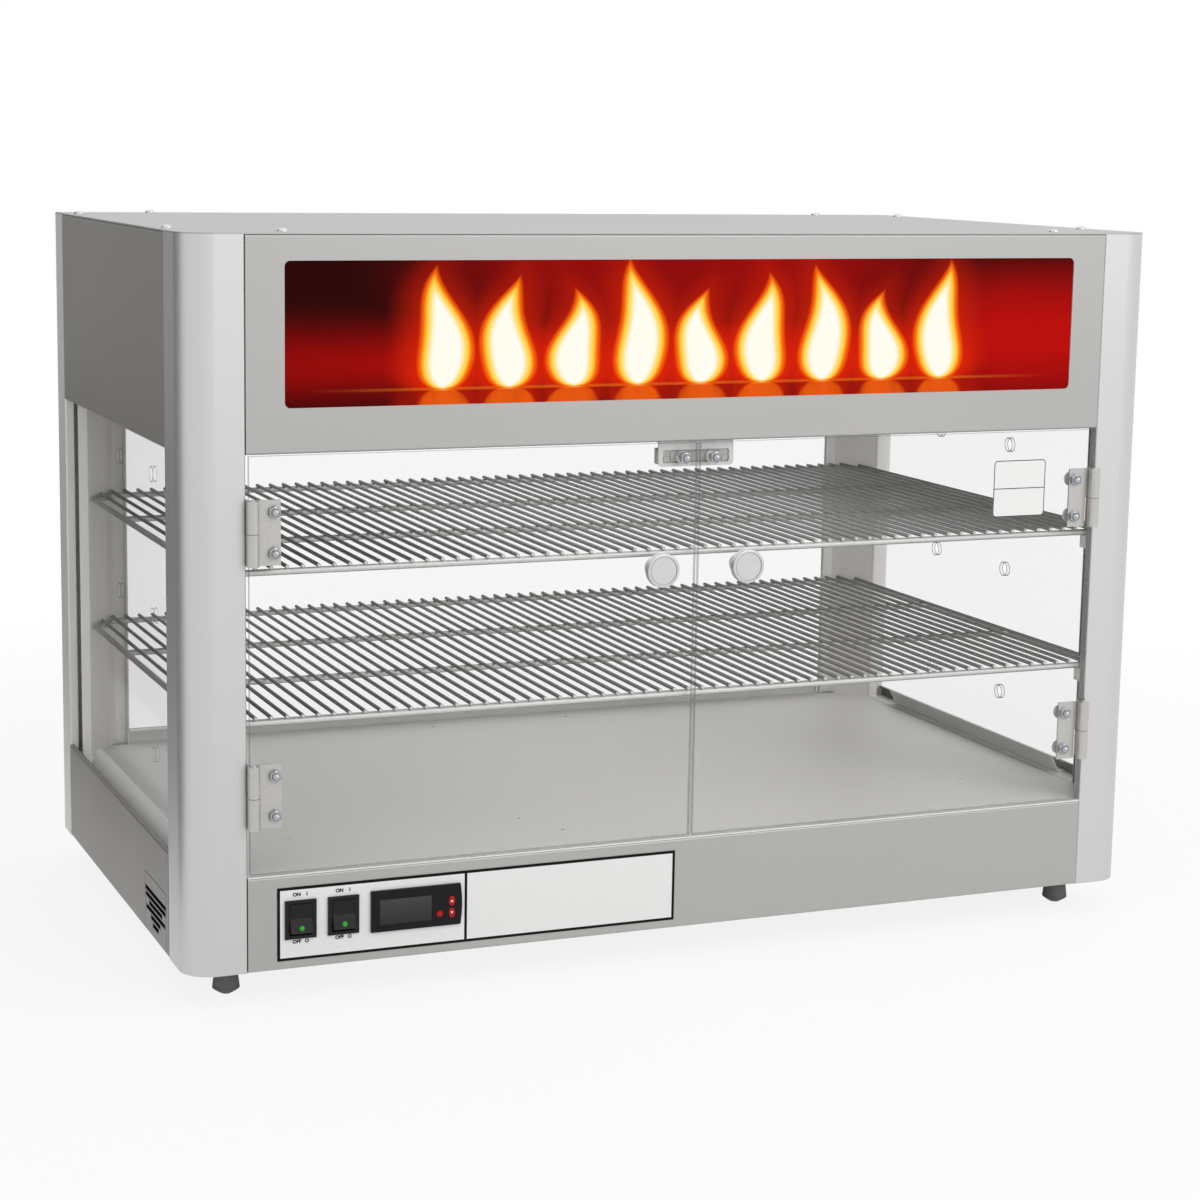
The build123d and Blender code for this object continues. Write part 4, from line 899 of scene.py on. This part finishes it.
def doorKnob(side):
    # foot, waisted stem, flared underside, rounded rim, raised ring, groove and a dished face
    look = knobLook
    low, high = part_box(side + "_knob")
    rim, radius, reach = look.rim, look.radius, high.y - low.y
    profile = inMetres(look.stem)
    profile += [(radius - rim + rim * math.cos(t), reach - rim + rim * math.sin(t))
                for t in np.linspace(0, np.pi / 2, 5)]
    profile += [(radius - look.ring - r, reach - z) for r, z in inMetres(look.groove)]
    profile.append((look.middle, profile[-1][1]))
    x, z = middleOf(side + "_knob")
    shape = stood(lathe(profile, look.segments), (x, high.y, z), -1)
    makePiece(side + "_turned_knob", shape, "knob", side + "_door", side + "_knob")


for side in ("left", "right"):
    doorFixings(side)
    doorKnob(side)

footLook = Look({
    "profile": ((3.4, 0.0), (4.4, 0.25), (8.4, 2.7), (10.3, 4.0), (10.8, 4.5), (11.0, 5.1), (10.9, 5.7),
                (10.4, 6.0), (10.4, 6.4), (10.8, 6.8), (10.6, 8.6), (10.0, 13.0), (9.4, 18.0), (9.2, 24.0),
                (9.2, 29.2)),  # radius and height
    "segments": 40,
})


def rubberFeet():
    # turned foot with a grooved waist, at each corner of the CAD feet's box
    low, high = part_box("feet")
    profile = inMetres(footLook.profile)
    radius = max(r for r, z in profile)
    places = [(x, y, 0.0) for x in (low.x + radius, high.x - radius)
              for y in (low.y + radius, high.y - radius)]
    shape = stamp(lathe(profile, footLook.segments), places)
    makePiece("turned_feet", shape, "rubber", "case", "feet")


rubberFeet()

topScrewLook = Look({
    "shank": ((2.0, -6.0), (2.0, 0.0), (4.6, 0.0), (4.6, 0.3)),    # radius and height, up to the head's rim
    "dome": 2.3 * mm,
    "places": ((342.0, -209.35), (342.0, 233.65), (415.0, -139.35), (415.0, 195.65)),    # and mirrored
    "segments": 32,
})


def topScrews():
    # round heads with a small flat on top, seated on the cover
    look = topScrewLook
    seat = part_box("top_cover")[1].z
    profile = inMetres(look.shank)
    radius, start = profile[-1]
    profile += dome(radius, look.dome, start, 8)[1:]
    places = [(side * x, y, seat) for x, y in inMetres(look.places) for side in (-1, 1)]
    shape = stamp(lathe(profile, look.segments), places)
    makePiece("cover_screws", shape, "bright", "case", "top_screws")


topScrews()
print("fixings, knobs and feet made")

# Pilot lenses, button arrows and the blank label

lensLook = Look({
    "lightX": -335.9 * mm,
    "heatX": -300.9 * mm,
    "tilt": -9.0,  # degrees, top of the rocker pressed in
    "waist": 5.2 * mm,
    "tip": 7.5 * mm,
    "halfHeight": 11.6 * mm,
    "drop": 7.6 * mm,
    "radius": 2.3 * mm,
    "root": -0.3 * mm,
    "rim": 0.1 * mm,
    "height": 0.8 * mm,
    "pivotY": -231.85 * mm,
    "pivotZ": 68.2 * mm,
    "segments": 32,
})


def pilotLens(kind):
    # small dome square to the rocker's lower face, which slopes from waist to tip
    look = lensLook
    tilt = math.radians(look.tilt)
    inward = np.array([0, math.cos(tilt), math.sin(tilt)])
    upward = np.array([0, -math.sin(tilt), math.cos(tilt)])
    slope = math.atan2(look.tip - look.waist, look.halfHeight)
    depth = -look.waist - look.drop * math.tan(slope)
    pivot = np.array([look[kind + "X"], look.pivotY, look.pivotZ])
    out = -inward * math.cos(slope) + upward * math.sin(slope)
    side = np.array([1.0, 0, 0])
    axes = np.stack([side, np.cross(out, side), out])
    profile = [(look.radius, look.root)] + dome(look.radius, look.height, look.rim, 6)
    points, faces = lathe(profile, look.segments)
    points = points @ axes + pivot + inward * depth - upward * look.drop
    makePiece(kind + "_pilot_lens", (points, faces), "lens", kind + "_switch")


pilotLens("light")
pilotLens("heat")


def prism(outline, y, thickness):
    # a flat outline in X and Z made a thin slab whose front is at y minus thickness
    outline = np.asarray(outline, float)
    count = len(outline)
    front = np.column_stack([outline[:, 0], np.full(count, y - thickness), outline[:, 1]])
    back = front + [0, thickness, 0]
    faces = [list(range(count)), list(range(count, 2 * count))[::-1]]
    faces += [[(i + 1) % count, i, i + count, (i + 1) % count + count] for i in range(count)]
    return np.concatenate([front, back]), faces


arrowLook = Look({
    "halfWidth": 1.15 * mm,
    "halfHeight": 0.95 * mm,
    "thickness": 0.06 * mm,
    "sink": 0.01 * mm,
})


def buttonArrow(kind, way):
    # small white triangle on a button, pointing up with way 1 and down with way -1
    look = arrowLook
    x, z = middleOf(kind + "_button")
    wide, tall = look.halfWidth, way * look.halfHeight
    outline = [(x - wide, z - tall), (x + wide, z - tall), (x, z + tall)][::way]
    shape = prism(outline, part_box(kind + "_button")[0].y + look.sink, look.thickness)
    makePiece(kind + "_arrow", shape, "legend", kind + "_key")


buttonArrow("up", 1)
buttonArrow("down", -1)


catchLook = Look({
    "halfWidth": 33.5 * mm,
    "bottom": 414.4 * mm,
    "corner": 3.5 * mm,
    "windowHalfWidth": 29.5 * mm,
    "windowLow": 417.3 * mm,
    "windowHigh": 427.9 * mm,
    "windowCorner": 1.5 * mm,
    "sheet": 1.5 * mm,
    "flange": 12.0 * mm,
    "flangeCorner": 0.3 * mm,
    "block": (-33.0, 416.1, 33.0, 429.1, 0.8),    # left, low, right, high and corner, in millimetres
    "raised": ((-22.5, 419.2, 22.5, 426.0, 0.5, 1.2), (-28.5, 418.0, -23.7, 422.4, 0.4, 0.9),
               (23.7, 418.0, 28.5, 422.4, 0.4, 0.9)),    # the same and a thickness: bar and two bosses
    "raisedRoot": 0.2 * mm,
    "strikeRadius": 5.3 * mm,
    "strikeEdge": 0.35 * mm,
    "strikeSegments": 48,
})


def roundedRectangle(left, low, right, high, corner, steps=6):
    # straight sides joined by quarter circles, counter-clockwise from the top right corner
    turn = np.linspace(0, np.pi / 2, steps)
    points = []
    for k, (x, z) in enumerate(((right, high), (left, high), (left, low), (right, low))):
        inX, inZ = (-corner if x == right else corner), (-corner if z == high else corner)
        angle = turn + k * np.pi / 2
        points.append(np.stack([x + inX + corner * np.cos(angle), z + inZ + corner * np.sin(angle)], -1))
    return np.concatenate(points)


def framePlate(outer, inner, front, back):
    # a flat ring between two outlines of as many points each, made a plate
    count = len(outer)
    loops = [(outer, front), (inner, front), (inner, back), (outer, back)]
    points = [np.column_stack([loop[:, 0], np.full(count, y), loop[:, 1]]) for loop, y in loops]
    i = np.arange(count)
    j = (i + 1) % count
    faces = [np.stack([a * count + i, b * count + i, b * count + j, a * count + j], -1)
             for a, b in ((0, 1), (1, 2), (2, 3), (3, 0))]
    return np.concatenate(points), np.concatenate(faces)[:, ::-1].tolist()


def doorCatch():
    # windowed plate with a flange on top, and a block behind it with a raised bar and two bosses
    look = catchLook
    low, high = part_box("catch_bracket")
    blockLow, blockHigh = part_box("catch_housing")
    half, window, sheet = look.halfWidth, look.windowHalfWidth, look.sheet
    outer = roundedRectangle(-half, look.bottom, half, high.z, look.corner)
    inner = roundedRectangle(-window, look.windowLow, window, look.windowHigh, look.windowCorner)
    flange = roundedRectangle(-half, high.z - sheet, half, high.z, look.flangeCorner)
    plate = joinShapes(framePlate(outer, inner, low.y, low.y + sheet),
                       prism(flange, low.y + look.flange, look.flange - sheet))
    makePiece("catch_plate", plate, "plateBright", "case", "catch_bracket")
    block = roundedRectangle(*(value * mm for value in look.block))
    shapes = [prism(block, blockHigh.y, blockHigh.y - blockLow.y)]
    for *outline, thickness in look.raised:
        outline = roundedRectangle(*(value * mm for value in outline))
        shapes.append(prism(outline, blockLow.y + look.raisedRoot, thickness * mm))
    makePiece("catch_block", joinShapes(*shapes), "catch", "case", "catch_housing")


def strikeDisc(side):
    # flat disc with a bevelled edge, on the inside of the door
    look = catchLook
    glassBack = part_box(side + "_door_glass")[1].y
    radius, edge, thick = look.strikeRadius, look.strikeEdge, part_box(side + "_strike")[1].y - glassBack
    x, z = middleOf(side + "_strike")
    shape = lathe([(radius, 0.0), (radius, thick - edge), (radius - edge, thick)], look.strikeSegments)
    makePiece(side + "_strike_disc", stood(shape, (x, glassBack, z), 1), "satin", side + "_door",
              side + "_strike")


doorCatch()
strikeDisc("left")
strikeDisc("right")


def doorLabel():
    # thin sheet with round corners, seated on the right door
    look = labelLook
    (x, z), halfW, halfH = look.middle, look.width / 2, look.height / 2
    outline = roundedRectangle(x - halfW, z - halfH, x + halfW, z + halfH, look.corner, 7)
    shape = prism(outline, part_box("right_door_glass")[0].y + look.sink, look.thickness)
    makePiece("door_label", shape, "label", "right_door")


doorLabel()

# Printed marks

markLook = Look({
    "size": 4.0 * mm,     # of the font, whose capitals are 0.7 as tall
    "bolder": 0.19 * mm,  # how much each stroke is thickened on both sides
    "thickness": 0.03 * mm,
    "lift": 0.05 * mm,
    "wordX": {"light": -338.8 * mm, "heat": -303.9 * mm},
    "signX": {"light": -330.5 * mm, "heat": -295.5 * mm},
    "onZ": 88.1 * mm,
    "offZ": 49.9 * mm,
})


def printedMark(name, text, x, z):
    # flat letters made a mesh and stood up on the plate
    look = markLook
    curve = bpy.data.curves.new(name + "_curve", "FONT")
    curve.body = text
    curve.size = look.size
    curve.align_x = curve.align_y = "CENTER"
    curve.extrude = look.thickness
    curve.offset = look.bolder
    carrier = addObject(name + "_carrier", curve)
    bpy.context.view_layer.update()
    mesh = bpy.data.meshes.new_from_object(carrier.evaluated_get(bpy.context.evaluated_depsgraph_get()))
    bpy.data.objects.remove(carrier)
    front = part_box("control_plate")[0].y
    mesh.transform(Matrix.Translation((x, front - look.lift, z)) @ Matrix.Rotation(math.pi / 2, 4, "X"))
    mesh.materials.clear()
    mesh.materials.append(finishes["ink"])
    piece = addObject(name, mesh)
    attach(piece, "case")


for side in ("light", "heat"):
    wordX, signX = markLook.wordX[side], markLook.signX[side]
    printedMark(side + "_on_mark", "ON", wordX, markLook.onZ)
    printedMark(side + "_bar_mark", "I", signX, markLook.onZ)
    printedMark(side + "_off_mark", "OFF", wordX, markLook.offZ)
    printedMark(side + "_ring_mark", "O", signX, markLook.offZ)
print("marks made")


# Room, light and camera

roomLook = Look({
    "floor": 0.92,
    "floorReach": 9.0,
    "shadowShare": 0.14,         # how much of the floor's own shading shows under the white
    "shadowReach": (0.75, 1.6),  # distances from the case over which that share fades to nothing
    "fill": 0.75,
    "lamps": {                   # place, target, size and power
        "key_lamp": ((1.1, -2.6, 1.7), (0, 0, 0.3), 1.8, 24.0),
        "top_lamp": ((0.3, 0.4, 2.6), (0, 0, 0.3), 2.0, 4.0),
        "inside_lamp": ((0.0, 0.001, 0.43), (0, 0, 0.1), 0.42, 0.6),
    },
    "cardTone": 0.22,            # dark cards at the left that keep the left side deeper
    "sideCard": ((-1.35, 0.1, 0.0), (-1.35, 4.0, 0.0), (-1.35, 4.0, 2.6), (-1.35, 0.1, 2.6)),
    "lowCard": ((-1.35, 0.0, 0.004), (-0.60, 0.0, 0.004), (-0.60, 4.0, 0.004), (-1.35, 4.0, 0.004)),
})


def paleFloor():
    # white to the seen rays, with a share of real shading near the case so that shadows stay
    look = roomLook
    shader = Shader("pale_floor")
    paint = shader.node("ShaderNodeBsdfDiffuse", None, {"Color": (look.floor,) * 3})
    white = shader.node("ShaderNodeEmission", None, {"Color": (1.0, 1.0, 1.0), "Strength": 1.0})
    x, y = shader.place("X"), shader.place("Y")
    share = (1.0 - (x * x + y * y).power(0.5).step(*look.shadowReach)) * look.shadowShare
    amount = shader.seenRays() * (1.0 - share)
    return shader.finish(shader.node("ShaderNodeMixShader", None, {0: amount, 1: paint, 2: white}))


def paleWorld():
    # full white to the seen rays, and the fill for all other light
    shader = Shader("studio", bpy.data.worlds.new("studio"))
    strength = shader.seenRays() * (1.0 - roomLook.fill) + roomLook.fill
    sky = shader.node("ShaderNodeBackground", None, {"Color": (1.0, 1.0, 1.0), "Strength": strength})
    return shader.finish(sky, "ShaderNodeOutputWorld")


def stageSheet(name, corners, material):
    mesh = bpy.data.meshes.new(name)
    mesh.from_pydata(corners, [], [(0, 1, 2, 3)])
    mesh.materials.append(material)
    sheet = addObject(name, mesh)
    return sheet


def darkCard(name, corners, glossOnly=False):
    # mottled grey card, seen by the case's metal and not by the camera
    shader = Shader(name + "_card")
    tone = roomLook.cardTone
    colour = shader.mix(shader.noise(2.0), (tone,) * 3, (tone * 0.8,) * 3)
    card = stageSheet(name, corners, shader.finish(shader.principled(Base_Color=colour, Roughness=0.9)))
    card.visible_camera = False
    card.visible_transmission = False
    card.visible_shadow = False
    card.visible_diffuse = not glossOnly


far = roomLook.floorReach
stageSheet("floor", [(-far, -far, 0), (far, -far, 0), (far, far, 0), (-far, far, 0)], paleFloor())
bpy.context.scene.world = paleWorld()
darkCard("side_card", roomLook.sideCard)
darkCard("low_card", roomLook.lowCard, glossOnly=True)


def aimed(name, data, place, turn):
    # puts a lamp or the camera at a place, turned from looking straight down
    holder = addObject(name, data)
    holder.matrix_world = Matrix.Translation(place) @ turn
    return holder


def softLamp(name, place, target, size, power):
    # a square soft box that looks at a point
    lamp = bpy.data.lights.new(name, "AREA")
    lamp.shape = "SQUARE"
    lamp.size = size
    lamp.energy = power
    away = np.array(place) - np.array(target)
    away /= np.linalg.norm(away)
    right = np.cross([0, 0, 1], away)
    right /= np.linalg.norm(right)
    aimed(name, lamp, place, Matrix(np.stack([right, np.cross(away, right), away], 1).tolist()).to_4x4())


for name, values in roomLook.lamps.items():
    softLamp(name, *values)

cameraLook = Look({
    "place": (-0.885084, -2.129641, 0.675915),
    "yaw": 0.386021,    # turn to the right of straight ahead
    "pitch": 0.158898,  # tip down
    "roll": 0.0152856,
    "lens": 77.75,
    "sensor": 36.0,
    "shiftX": 0.02767,
    "shiftY": -0.03848,
    "farEnd": 60.0,
})


def photoCamera():
    # level and straight ahead, rolled about its line of sight, then tipped down and turned to the right
    look = cameraLook
    data = bpy.data.cameras.new("photo_camera")
    data.sensor_width = look.sensor
    data.lens = look.lens
    data.shift_x = look.shiftX
    data.shift_y = look.shiftY
    data.clip_end = look.farEnd
    tip = Matrix.Rotation(math.pi / 2 - look.pitch, 4, "X")
    turn = Matrix.Rotation(-look.yaw, 4, "Z") @ tip @ Matrix.Rotation(look.roll, 4, "Z")
    bpy.context.scene.camera = aimed("photo_camera", data, look.place, turn)


photoCamera()
bpy.context.scene.view_settings.view_transform = "Standard"
print("room, light and camera made")

bpy.context.view_layer.update()
